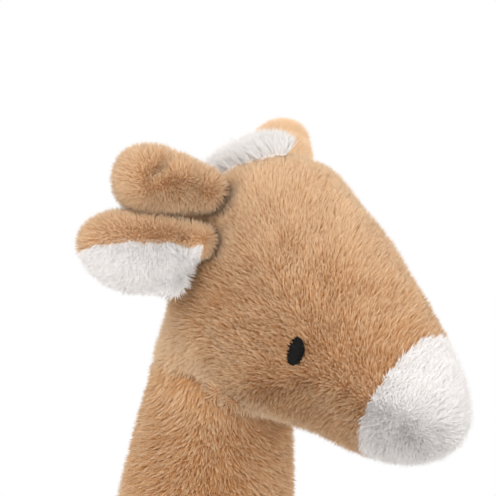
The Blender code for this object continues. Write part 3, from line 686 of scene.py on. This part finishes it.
    def open_share(self, points: np.ndarray, normals: np.ndarray, room: BVHTree) -> np.ndarray:
        """Tells the shut-away points of the skin from those that show.

        Args:
            points: The skin's points.
            normals: Its normals there.
            room: Every skin together.

        Returns:
            1 where some ray gets away, and else 0.
        """
        rng = np.random.default_rng(OUTLOOK.seed)
        rays = unit(rng.normal(size=(OUTLOOK.rays, 3)))
        found = np.zeros(len(points))
        for i, (point, normal) in enumerate(zip(points, normals)):
            start = Vector(point + normal * OUTLOOK.start)
            for ray in rays:
                aim = ray + normal * OUTLOOK.outward
                if room.ray_cast(start, Vector(aim).normalized(), OUTLOOK.reach)[0] is None:
                    found[i] = 1.0
                    break
        return found

    def bend(self, roots: np.ndarray, out: np.ndarray) -> np.ndarray:
        """The way the fibres lie, before they tuft.

        Args:
            roots: Where they grow; not used here.
            out: The skin's normals there.

        Returns:
            A direction for each.
        """
        nap = np.array(self.comb)[None, :]
        along = nap - out * (out @ nap[0])[:, None]
        return out + along * self.lean

    def thin(self, roots: np.ndarray, out: np.ndarray) -> np.ndarray:
        """Which of the roots are kept."""
        return np.ones(len(roots), bool)

    def matted_and_shaded(self, roots: np.ndarray) -> np.ndarray:
        """How far the tufts at the roots stand apart, from 0 to 1; the same value darkens their dye as
        painted shade.
        """
        return np.full(len(roots), self.mats_and_shade)

    def dyed_at(self, places: np.ndarray) -> np.ndarray:
        """Where each fibre's cover is looked up, so that one fabric laps over another in uneven points."""
        wander = np.array([noise_vector(Vector(place * TUFTS.border_waves)) for place in places])
        return places + self.lap + wander * TUFTS.border

    def grow(self, room: BVHTree | None) -> list[bpy.types.Object]:
        """Grows the pile, one object to each cover.

        Args:
            room: Every skin together, or None where the whole of this one can come to show.

        Returns:
            The pile's objects.
        """
        rng = np.random.default_rng(self.seed + TUFTS.seed)
        roots, out = self.scatter(room)
        kept = self.thin(roots, out)
        roots, out = roots[kept], out[kept]
        lie = unit(self.bend(roots, out))
        tree, owners = self.finder()
        places = self.dyed_at(roots + lie * self.length * TUFTS.dyed_height)
        owner = owners[[tree.find_nearest(Vector(place))[2] for place in places]]
        share = np.array([self.sparse.get(name, 1.0) for name in self.covers])[owner]
        kept = rng.random(len(roots)) < share
        roots, out, owner, share, lie = roots[kept], out[kept], owner[kept], share[kept], lie[kept]
        width = self.width / share**0.5
        count = len(roots)
        # Tufts: each fibre leans towards the tip of the tuft whose middle is nearest
        middles = rng.permutation(count)[: count // TUFTS.fibres]
        search = KDTree(len(middles))
        for i, middle in enumerate(middles):
            search.insert(roots[middle], i)
        search.balance()
        tuft = np.array([search.find(root)[1] for root in roots])
        drift = np.array([noise_vector(Vector(roots[m] * TUFTS.drift_waves + self.seed)) for m in middles])
        drift *= TUFTS.drift
        drift += rng.normal(scale=TUFTS.stray, size=drift.shape)
        tuft_length = 1.0 + rng.normal(scale=TUFTS.tuft_length, size=len(middles))
        tuft_shade = rng.normal(scale=TUFTS.tuft_shade, size=len(middles))
        patches = np.array([noise_vector(Vector(roots[m] * TUFTS.patch_waves))[0] for m in middles])
        tuft_shade += patches * TUFTS.patch_shade
        dyed = np.array([coat_of(name) is Coat.TAN for name in self.covers])[owner]
        matted_and_shaded = self.matted_and_shaded(roots) * np.where(dyed, 1.0, TUFTS.white_share)
        tuft_shade *= TUFTS.even_shade + matted_and_shaded[middles]
        lie = unit(lie + drift[tuft])
        reach = self.length * tuft_length[tuft] * (1.0 + rng.normal(scale=TUFTS.fibre_length, size=count))
        tips = roots + lie * reach[:, None]
        heads = roots[middles][tuft] + lie * reach[:, None]
        tips += (heads - tips) * (rng.uniform(*TUFTS.pull, size=count) + TUFTS.matted_pull * matted_and_shaded)[:, None]
        tips += rng.normal(scale=TUFTS.tip_stray, size=tips.shape)
        tips[:, 2] = np.maximum(tips[:, 2], FLOOR_CLEAR)
        # Painted light and shade: every fibre's shade is lifted and then lowered by its matting, so the
        # cheeks and neck come out darker and the jaw's underside lighter.
        shade = self.shade + TUFTS.painted_light_lift - TUFTS.matted_painted_shade * matted_and_shaded + tuft_shade[tuft]
        shade = np.clip(shade + rng.normal(scale=TUFTS.fibre_shade, size=count), *TUFTS.shades)
        made = []
        for i, name in enumerate(self.covers):
            mine = np.flatnonzero(owner == i)
            if len(mine):
                fibres = Fibres(roots[mine], tips[mine], out[mine], shade[mine], width[mine])
                made += fibres.build(name, self.seed)
        for piece in made:
            self.hang(piece)
        log.info("pile of %s: %d fibres in %d pieces", self.title or self.body, count, len(made))
        return made


@dataclass
class Fibres:
    """Tapered fibres of one cover, as three-sided spikes."""

    roots: np.ndarray
    tips: np.ndarray
    out: np.ndarray
    shade: np.ndarray
    width: np.ndarray
    most: int = 66000
    turn_seed: int = 900
    steep: float = 0.8
    sink: float = 0.0006
    softness: float = 0.88
    map_shift: float = 0.012
    map_ends: tuple[float, float] = (0.02, 0.98)

    def build(self, cover: str, seed: int) -> list[bpy.types.Object]:
        """Makes the fibres' objects, none of more than a set number of fibres.

        Args:
            cover: The CAD cover that they belong to.
            seed: Seed of their turns.

        Returns:
            The objects.
        """
        parts = -(-len(self.roots) // self.most)
        order = np.argsort(self.roots[:, 2], kind="stable")
        made = []
        for i, mine in enumerate(np.array_split(order, parts)):
            name = f"{cover}_pile" if parts == 1 else f"{cover}_pile_{i + 1}"
            piece = self.mesh(name, mine, seed + i)
            coat = coat_of(cover)
            piece.data.materials.append(WARDROBE.get(PILES[coat]))
            made.append(piece)
        return made

    def mesh(self, name: str, mine: np.ndarray, seed: int) -> bpy.types.Object:
        """Makes one object of fibres.

        Args:
            name: The object's name.
            mine: Which fibres it holds.
            seed: Seed of their turns.

        Returns:
            The object.
        """
        rng = np.random.default_rng(seed + self.turn_seed)
        roots, tips, out, shade = self.roots[mine], self.tips[mine], self.out[mine], self.shade[mine]
        width = self.width[mine, None]
        count = len(mine)
        line = unit(tips - roots)
        other = np.where(np.abs(line[:, 2:3]) < self.steep, [[0.0, 0.0, 1.0]], [[1.0, 0.0, 0.0]])
        across = unit(np.cross(line, other))
        upward = np.cross(line, across)
        turn = rng.uniform(0.0, 2.0 * pi, count)
        points = np.empty((count, 4, 3))
        normals = np.empty((count, 4, 3))
        for k in range(3):
            angle = turn + k * 2.0 * pi / 3.0
            side = across * np.cos(angle)[:, None] + upward * np.sin(angle)[:, None]
            points[:, k] = roots - line * self.sink + side * width * 0.5
            normals[:, k] = unit(side * (1.0 - self.softness) + out * self.softness)
        points[:, 3] = tips
        normals[:, 3] = unit(line * (1.0 - self.softness) + out * self.softness)
        np.maximum(points[:, :, 2], FLOOR_CLEAR * 0.5, out=points[:, :, 2])
        start = np.arange(count)[:, None, None] * 4
        faces = (start + np.array([[0, 1, 3], [1, 2, 3], [2, 0, 3]])[None]).reshape(-1, 3)
        mesh = bpy.data.meshes.new(name)
        mesh.from_pydata(points.reshape(-1, 3).tolist(), [], faces.tolist())
        place = np.empty((count, 4, 2))
        for k, shift in enumerate((-self.map_shift, 0.0, self.map_shift)):
            place[:, k] = np.stack([shade + shift, np.full(count, self.map_ends[0])], axis=1)
        place[:, 3] = np.stack([shade, np.full(count, self.map_ends[1])], axis=1)
        layer = mesh.uv_layers.new(name=PILE_MAP)
        layer.data.foreach_set("uv", place.reshape(-1, 2)[faces.ravel()].astype(np.float32).ravel())
        mesh.shade_smooth()
        mesh.normals_split_custom_set_from_vertices(normals.reshape(-1, 3).tolist())
        piece = bpy.data.objects.new(name, mesh)
        bpy.context.collection.objects.link(piece)
        return piece


@dataclass
class Eye:
    """A satin-stitched eye: short bars of thread side by side over a low pad."""

    side: Side
    seed: int = 31
    stitches: int = 25
    raise_by: float = -0.0016
    thread: float = 0.00062
    pad: tuple[float, float, float] = (0.84, 0.90, 0.0011)
    cover: float = 0.98
    shortest: float = 0.16
    ragged: float = 0.16
    shift: float = 0.09
    lift: float = 0.0007
    lay: tuple[float, float] = (-9.0, 6.0)
    plump: tuple[float, float] = (0.48, 0.62)
    thickness: float = 0.00066

    def frame(self) -> tuple[Vector, Vector, Vector, Vector, float, float]:
        """The eye's place and directions, read from its CAD node.

        Returns:
            Its centre, its long, short and outward directions, and half its height and width.
        """
        points = points_of(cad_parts[f"eye_{self.side.value}"].data)
        centre = points.mean(axis=0)
        _, _, axes = np.linalg.svd(points - centre)
        tall, wide, out = (Vector(axis) for axis in axes)
        out = out if out.x * self.side.sign > 0.0 else -out
        tall = tall if tall.z > 0.0 else -tall
        wide = tall.cross(out)
        spread = (points - centre) @ axes.T
        half_tall, half_wide = (float(np.abs(spread[:, i]).max()) for i in range(2))
        return Vector(centre), tall, wide, out, half_tall, half_wide

    def build(self) -> bpy.types.Object:
        """Stitches the eye and puts it in place of its CAD node.

        Returns:
            The eye.
        """
        rng = np.random.default_rng(self.seed)
        centre, tall, wide, out, half_tall, half_wide = self.frame()
        basis = Matrix((wide, tall, out)).transposed().to_4x4()
        place = Matrix.Translation(centre + out * self.raise_by) @ basis
        bpy.ops.object.select_all(action="DESELECT")
        bpy.ops.mesh.primitive_uv_sphere_add(segments=24, ring_count=12, radius=1.0)
        pad = bpy.context.object
        wide_share, tall_share, deep = self.pad
        size = Matrix.Diagonal((half_wide * wide_share, half_tall * tall_share, deep, 1.0))
        pad.data.transform(place @ size)
        bpy.ops.object.select_all(action="DESELECT")
        bpy.ops.mesh.primitive_uv_sphere_add(segments=8, ring_count=8, radius=1.0)
        bar = bpy.context.object
        bars = []
        for i in range(self.stitches):
            height = (2.0 * (i + 0.5) / self.stitches - 1.0) * self.cover
            half = half_wide * max(self.shortest, (1.0 - height * height)) ** 0.5
            half *= 1.0 + rng.uniform(-self.ragged, self.ragged)
            shift = Vector((rng.uniform(-self.shift, self.shift) * half_wide, height * half_tall, self.lift))
            lay = Matrix.Rotation(radians(rng.normal(*self.lay)), 4, "Z")
            size = Matrix.Diagonal((half, self.thread * rng.uniform(*self.plump), self.thickness, 1.0))
            twin = bpy.data.objects.new("stitch", bar.data.copy())
            twin.data.transform(place @ Matrix.Translation(shift) @ lay @ size)
            bpy.context.collection.objects.link(twin)
            bars.append(twin)
        bpy.data.objects.remove(bar)
        pick(pad, *bars)
        bpy.ops.object.join()
        bpy.ops.object.shade_smooth()
        pad.name = pad.data.name = f"eye_stitching_{self.side.value}"
        pad.data.materials.clear()
        pad.data.materials.append(WARDROBE.get(ThreadFinish()))
        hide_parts(f"eye_{self.side.value}")
        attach(pad, "head")
        log.info("eye of the %s: %d stitches", self.side.value, self.stitches)
        return pad


@dataclass
class Trunk(Stuffed):
    """Body and neck in one sewn skin."""

    bend_from: tuple[float, float, float] = (0.0, 0.0, 0.095)
    bend_to: tuple[float, float, float] = (0.0, -0.012, 0.185)
    drawn_from: float = 0.250
    drawn_over: float = 0.012
    drawn: float = 0.45
    # The whole trunk is matted, which also darkens its dye as painted shade.
    mats_and_shade: float = 0.8

    def hang(self, piece: bpy.types.Object) -> None:
        """Bakes a piece's place into its points, and hangs it on no body."""
        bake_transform(piece)

    def bend(self, roots: np.ndarray, out: np.ndarray) -> np.ndarray:
        """The way the fibres lie, drawn down from under the head's pile at the neck's top.

        Args:
            roots: Where they grow.
            out: The skin's normals there.

        Returns:
            A direction for each.
        """
        high = np.clip((roots[:, 2] - self.drawn_from) / self.drawn_over, 0.0, 1.0)
        rising = np.maximum(out @ np.array(NECK_LINE), 0.0)
        return super().bend(roots, out) - np.outer(high * (rising + self.drawn), NECK_LINE)


@dataclass
class Mane(Stuffed):
    """Strip whose pile stands up from the head's middle line."""

    middle: tuple[float, float, float] = (0.0, -0.045, 0.312)
    narrow: tuple[float, float, float] = (0.3, 1.0, 1.0)
    sunk: float = 0.0036
    spread: float = 0.95
    rise: float = 0.55
    top: float = 0.35

    def bend(self, roots: np.ndarray, out: np.ndarray) -> np.ndarray:
        """The way the fibres lie, away from the middle of the head.

        Args:
            roots: Where they grow.
            out: The skin's normals there.

        Returns:
            A direction for each.
        """
        return out * self.spread + self.upward(roots) * self.rise + self.comb

    def upward(self, places: np.ndarray) -> np.ndarray:
        """The directions away from the middle of the head, close to the middle plane."""
        return unit((places - self.middle) * self.narrow)

    def thin(self, roots: np.ndarray, out: np.ndarray) -> np.ndarray:
        """Which of the roots are kept: those on the strip's top."""
        return (out * self.upward(roots)).sum(axis=1) > self.top

    def shape(self, body: bpy.types.Object) -> None:
        """Sinks the strip into the head, so that the head's pile laps over its foot."""
        super().shape(body)
        points = points_of(body.data)
        put_points(body.data, points - self.upward(points) * self.sunk)


@dataclass
class Head(Stuffed):
    """Head, with bare places under its eyes and its mane, and a muzzle that has a border of its own."""

    mane: str = "head_mane"
    mane_clear: float = 0.0004
    eye_depth: float = 0.012
    eye_height: float = 0.0034
    eye_bare: float = 0.90
    eye_parting: float = 0.12
    eye_parted_to: float = 1.8
    muzzle_half: float = 0.029
    muzzle_slope: float = 0.0030
    muzzle_back: float = 0.0012
    nape: float = 0.276
    nape_half: float = 0.014
    nape_from: float = -0.042
    nape_over: float = 0.012
    nape_drawn: float = 0.9
    # Matting on the cheeks darkens their dye as painted shade; under the jaw it goes below 0 and lightens the
    # dye as painted light.
    cheek_top: float = 0.335
    cheek_over: float = 0.03
    cheek_mats_and_shade: float = 0.9
    jaw: float = -0.036
    jaw_over: float = 0.010
    jaw_mats_and_light: float = -0.4

    def eyes(self) -> list[tuple[Vector, Vector, Vector, Vector, float, float]]:
        """Where the eyes are."""
        return [Eye(side).frame() for side in Side]

    def from_eye(self, roots: np.ndarray) -> np.ndarray:
        """How far each root is from an eye's middle, as a share of the eye's own size there."""
        nearest = np.full(len(roots), FAR_OFF)
        for centre, tall, wide, out, half_tall, half_wide in self.eyes():
            away = roots - np.array(centre)
            share = np.hypot(away @ np.array(tall) / half_tall, away @ np.array(wide) / half_wide)
            level = np.abs(away @ np.array(out)) < self.eye_depth
            nearest = np.minimum(nearest, np.where(level, share, FAR_OFF))
        return nearest

    def dyed_at(self, places: np.ndarray) -> np.ndarray:
        """Where each fibre's cover is looked up, so that the muzzle's border is upright enough."""
        height = (places @ np.array(HEAD_UP) - MUZZLE_HEIGHT) / self.muzzle_half
        return super().dyed_at(places) + np.outer(height * self.muzzle_slope - self.muzzle_back, HEAD_LINE)

    def matted_and_shaded(self, roots: np.ndarray) -> np.ndarray:
        """How far the tufts stand apart, most on the cheeks and little under the jaw; it also darkens the
        cheeks' dye as painted shade and, below 0 under the jaw, lightens it as painted light.
        """
        height = roots @ np.array(HEAD_UP) - MUZZLE_HEIGHT
        cheek = np.clip((self.cheek_top - roots[:, 2]) / self.cheek_over, 0.0, self.cheek_mats_and_shade)
        return cheek * np.clip((height - self.jaw) / self.jaw_over, self.jaw_mats_and_light, 1.0)

    def thin(self, roots: np.ndarray, out: np.ndarray) -> np.ndarray:
        """Which of the roots are kept."""
        solid = bmesh.new()
        solid.from_mesh(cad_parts[self.mane].data)
        tree = BVHTree.FromBMesh(solid)
        solid.free()
        bare = np.array([tree.find_nearest(Vector(root))[3] < self.mane_clear for root in roots])
        level = roots + unit(self.bend(roots, out)) * self.eye_height
        return (self.from_eye(level) > self.eye_bare) & ~bare

    def bend(self, roots: np.ndarray, out: np.ndarray) -> np.ndarray:
        """The way the fibres lie, parted round the eyes.

        Args:
            roots: Where they grow.
            out: The skin's normals there.

        Returns:
            A direction for each.
        """
        lie = super().bend(roots, out)
        low = np.exp(-(((roots[:, 2] - self.nape) / self.nape_half) ** 2))
        low = low * np.clip((roots[:, 1] - self.nape_from) / self.nape_over, 0.0, 1.0)
        lie = lie + np.outer(low, NECK_LINE) * -self.nape_drawn
        for centre, _, _, axis, _, _ in self.eyes():
            away = roots - np.array(centre)
            away -= np.array(axis) * (away @ np.array(axis))[:, None]
            push = np.clip(self.eye_parted_to - self.from_eye(roots), 0.0, 1.0)[:, None] * self.eye_parting
            near = (roots[:, 0] * centre.x > 0.0)[:, None]
            lie = lie + unit(away) * push * near
        return lie


@dataclass
class Studio:
    """Pale floor, white surroundings, soft lamps and the camera."""

    floor_radius: float = 30.0
    shadow_radius: float = 0.25
    floor_glow: float = 0.45
    shown_strength: float = 1.0
    light_strength: float = 1.7
    light_tint: tuple[float, float, float, float] = (1.0, 0.96, 0.92, 1.0)
    across: tuple[float, float, float] = (0.5736, -0.8192, 0.0)
    back: tuple[float, float, float] = (-0.8091, -0.5665, 0.1564)

    def floor(self) -> bpy.types.Object:
        """A pale floor that keeps the toy's shadow and fades to white.

        Returns:
            The floor.
        """
        bpy.ops.object.select_all(action="DESELECT")
        bpy.ops.mesh.primitive_circle_add(vertices=96, radius=self.floor_radius, fill_type="NGON")
        ground = bpy.context.object
        ground.name = ground.data.name = "floor"
        made, sheet = Sheet.of_material("pale_floor")
        place = sheet.add("ShaderNodeTexCoord")["Object"]
        away = sheet.add("ShaderNodeVectorMath", {"operation": "LENGTH"}, {0: place})["Value"]
        seen = sheet.add("ShaderNodeLightPath")
        fading = ((away - self.shadow_radius) * 2.0).clamp()
        share = seen["Is Camera Ray"] * (self.floor_glow + fading * (1.0 - self.floor_glow))
        grain = sheet.noise(place, 40.0, 3.0)
        pale = sheet.add("ShaderNodeBsdfPrincipled", {}, {
            "Base Color": sheet.blend(grain, (0.80, 0.80, 0.80, 1.0), (0.84, 0.84, 0.84, 1.0)),
            "Roughness": 0.9,
        })["BSDF"]
        white = sheet.add("ShaderNodeEmission", {}, {"Color": WHITE, "Strength": 1.0})["Emission"]
        sheet.finish(sheet.add("ShaderNodeMixShader", {}, {0: share, 1: pale, 2: white})["Shader"])
        ground.data.materials.append(made)
        return ground

    def surroundings(self) -> None:
        """A world that is white to the camera and to gloss, and lights the toy softly."""
        world = bpy.data.worlds.new("studio")
        world.use_nodes = True
        world.node_tree.nodes.clear()
        bpy.context.scene.world = world
        sheet = Sheet(world.node_tree)
        seen = sheet.add("ShaderNodeLightPath")
        shown = (seen["Is Camera Ray"] + seen["Is Glossy Ray"] + seen["Is Transmission Ray"]).clamp()
        tint = sheet.blend(shown, self.light_tint, WHITE)
        strength = self.light_strength - shown * (self.light_strength - self.shown_strength)
        light = sheet.add("ShaderNodeBackground", {}, {"Color": tint, "Strength": strength})
        sheet.finish(light["Background"], "ShaderNodeOutputWorld")

    def lamp(
        self, name: str, place: tuple[float, float, float], side: float, power: float,
    ) -> bpy.types.Object:
        """A square lamp that faces the toy's head.

        Args:
            name: The lamp's name.
            place: Where it hangs.
            side: Its width.
            power: Its power in watts.

        Returns:
            The lamp.
        """
        data = bpy.data.lights.new(name, "AREA")
        data.shape, data.size, data.energy = "SQUARE", side, power
        made = bpy.data.objects.new(name, data)
        made.location = place
        made.rotation_mode = "QUATERNION"
        made.rotation_quaternion = (CROWN - Vector(place)).to_track_quat("-Z", "Y")
        bpy.context.collection.objects.link(made)
        return made

    def camera(self) -> bpy.types.Object:
        """The camera, at the photograph's angle and framing.

        Returns:
            The camera.
        """
        across, back = Vector(self.across).normalized(), Vector(self.back).normalized()
        upward = back.cross(across).normalized()
        target = CROWN + across * (IMAGE_CENTRE[0] - CROWN_PIXEL[0]) * IMAGE_SCALE
        target += upward * (CROWN_PIXEL[1] - IMAGE_CENTRE[1]) * IMAGE_SCALE
        data = bpy.data.cameras.new("camera")
        data.lens, data.sensor_width, data.clip_start, data.clip_end = 300.0, 36.0, 0.05, 60.0
        made = bpy.data.objects.new("camera", data)
        made.location = target + back * (IMAGE_SIDE * IMAGE_SCALE * data.lens / data.sensor_width)
        made.rotation_mode = "QUATERNION"
        made.rotation_quaternion = Matrix((across, upward, back)).transposed().to_quaternion()
        bpy.context.collection.objects.link(made)
        bpy.context.scene.camera = made
        return made

    def build(self) -> None:
        """Sets up the whole studio."""
        bpy.context.scene.view_settings.view_transform = "Standard"
        self.floor()
        self.surroundings()
        self.lamp("key", (-0.30, -0.85, 1.54), 2.0, 9.0)
        self.lamp("overhead", (-0.95, 0.10, 1.55), 1.3, 4.0)
        self.lamp("left", (-0.72, 1.05, 0.95), 1.0, 2.0)
        self.lamp("right", (0.93, -0.95, 0.50), 1.0, 3.5)
        self.lamp("front", (-1.0, -0.65, 0.80), 1.0, 6.0)
        self.camera()
        log.info("studio: floor, world, five lamps and the camera")


def sitting_giraffe() -> list[Stuffed]:
    """The giraffe's stuffed parts, in the order that they are built.

    Returns:
        The parts.
    """
    torso = ("torso_cover_left", "torso_cover_right", "belly_panel", "seat_panel")
    parts: list[Stuffed] = [
        Head(
            "head",
            ("head_cover_left", "head_cover_right", "brow_gusset", "muzzle_cover"),
            ("head_stuffing",),
            comb=(0.0, -0.4, 0.92), lean=0.42, density=6.6e6, width=0.00042, seed=11,
            presses=(
                Press((-0.0175, -0.0995, 0.3098), (-0.0069, -0.1033, 0.3135), -0.0030, 0.0028),
                Press((-0.0095, -0.0794, 0.3399), (-0.0273, -0.0781, 0.3157), -0.0018, 0.0080),
                Press((-0.0273, -0.0781, 0.3157), (-0.0222, -0.0970, 0.3056), -0.0014, 0.0070),
                *nape_seam(-0.0040),
                Press((0.0, 0.0110, 0.2720), (-0.0233, -0.0107, 0.2715), 0.0034, 0.0110, (0.0, 1.0, 0.0)),
            ),
        ),
        Mane(
            "head",
            ("head_mane",),
            comb=(0.0, 0.25, 0.05), inset=0.0012, voxel=0.0013, swell=0.0004, length=0.0070,
            # The low shade darkens the mane's white as painted shade against the light from above.
            density=21.0e6, width=0.00037, seed=15, title="mane", shade=-0.04,
        ),
        Trunk(
            "neck",
            ("neck_cover_left", "neck_cover_right", *torso),
            ("neck_stuffing", "torso_stuffing", "seat_pellet_bag", "seat_pellets"),
            # The low shade darkens the trunk's dye as painted shade, the neck lying under the head.
            density=4.4e6, sparse={name: 0.40 for name in torso}, seed=12, title="trunk", shade=0.44,
            presses=(
                *nape_seam(0.0044),
                Press((-0.0180, -0.0360, 0.2600), (-0.0140, -0.0100, 0.2640), 0.0070, 0.0110, NECK_LINE),
            ),
        ),
        Stuffed(
            "tail",
            ("tail_stem", "tail_tuft"),
            comb=(0.0, 0.53, -0.85), inset=0.0025, voxel=0.0015, swell=0.0006, length=0.0042,
            density=6.0e6, seed=14,
        ),
    ]
    for side in Side:
        name, sign = side.value, side.sign
        parts += [
            Stuffed(
                f"horn_{name}", (f"horn_cover_{name}",), (f"horn_stuffing_{name}",),
                comb=(0.7909 * sign, 0.5606, 0.2453), inset=0.0027, voxel=0.0018, swell=0.0008,
                # The high shade lightens the horns' dye as painted light.
                length=0.0040, density=8.0e6, width=0.00042, seed=20 + sign, shade=0.78,
                presses=(
                    Press((-0.0424, -0.0273, 0.3576), (-0.0345, -0.0335, 0.3530), 0.0014, 0.0070),
                    Press((-0.0330, -0.0300, 0.3332), (-0.0490, -0.0190, 0.3385), 0.0022, 0.0070),
                    Press((-0.0394, -0.0298, 0.3559), (-0.0507, -0.0285, 0.3487), -0.0016, 0.0032),
                ),
            ),
            Stuffed(
                f"ear_{name}", (f"ear_back_{name}", f"ear_lining_{name}"),
                comb=(0.7162 * sign, 0.6972, -0.5), inset=0.0027, voxel=0.0018, swell=0.0008,
                # The high shade lightens the ears' dye as painted light in the horns' shadow.
                length=0.0038, density=8.0e6, width=0.00042, seed=30 + sign, shade=0.82,
                presses=(
                    Press((-0.0366, -0.0351, 0.3174), (-0.0401, -0.0320, 0.3130), -0.0016, 0.0030),
                    Press((-0.0401, -0.0320, 0.3130), (-0.0460, -0.0281, 0.3111), -0.0010, 0.0030),
                    Press((-0.0400, -0.0291, 0.3081), (-0.0390, -0.0313, 0.3105), 0.0038, 0.0060, FLAP_LINE),
                    Press((-0.0393, -0.0288, 0.3340), (-0.0572, -0.0114, 0.3350), 0.0017, 0.0070),
                ),
                lap=(0.0, 0.0, 0.0030),
            ),
            Stuffed(
                f"front_leg_{name}", (f"front_leg_{name}_cover", f"front_leg_{name}_hoof"),
                (f"front_leg_{name}_stuffing", f"front_leg_{name}_pellets"),
                comb=(0.0, -0.25, -0.95), inset=0.0044, voxel=0.0028, swell=0.0012, length=0.0050,
                density=2.4e6, width=0.00065, seed=40 + sign,
            ),
            Stuffed(
                f"hind_leg_{name}", (f"hind_leg_{name}_cover", f"hind_leg_{name}_hoof"),
                (f"hind_leg_{name}_stuffing", f"hind_leg_{name}_pellets"),
                comb=(0.1391 * sign, -0.9901, -0.0189), inset=0.0046, voxel=0.003, swell=0.0014,
                length=0.0052, density=2.0e6, width=0.00067, seed=50 + sign,
            ),
        ]
    return parts


def every_skin(parts: list[Stuffed]) -> BVHTree:
    """A search over all the skins together.

    Args:
        parts: The parts, with their skins built.

    Returns:
        The tree.
    """
    joined = bmesh.new()
    for part in parts:
        joined.from_mesh(part.skin.data)
    tree = BVHTree.FromBMesh(joined)
    joined.free()
    return tree


def main() -> None:
    """Builds the giraffe and its studio."""
    logging.basicConfig(level=logging.INFO, format="%(name)s: %(message)s")
    seed_set(NOISE_SEED)  # Else the noise starts from the clock
    parts = sitting_giraffe()
    for part in parts:
        part.build_skin()
    for side in Side:
        Eye(side).build()
    room = every_skin(parts)
    for part in parts:
        part.grow(room if isinstance(part, (Head, Trunk)) else None)
    Studio().build()


if __name__ == "__main__":
    main()
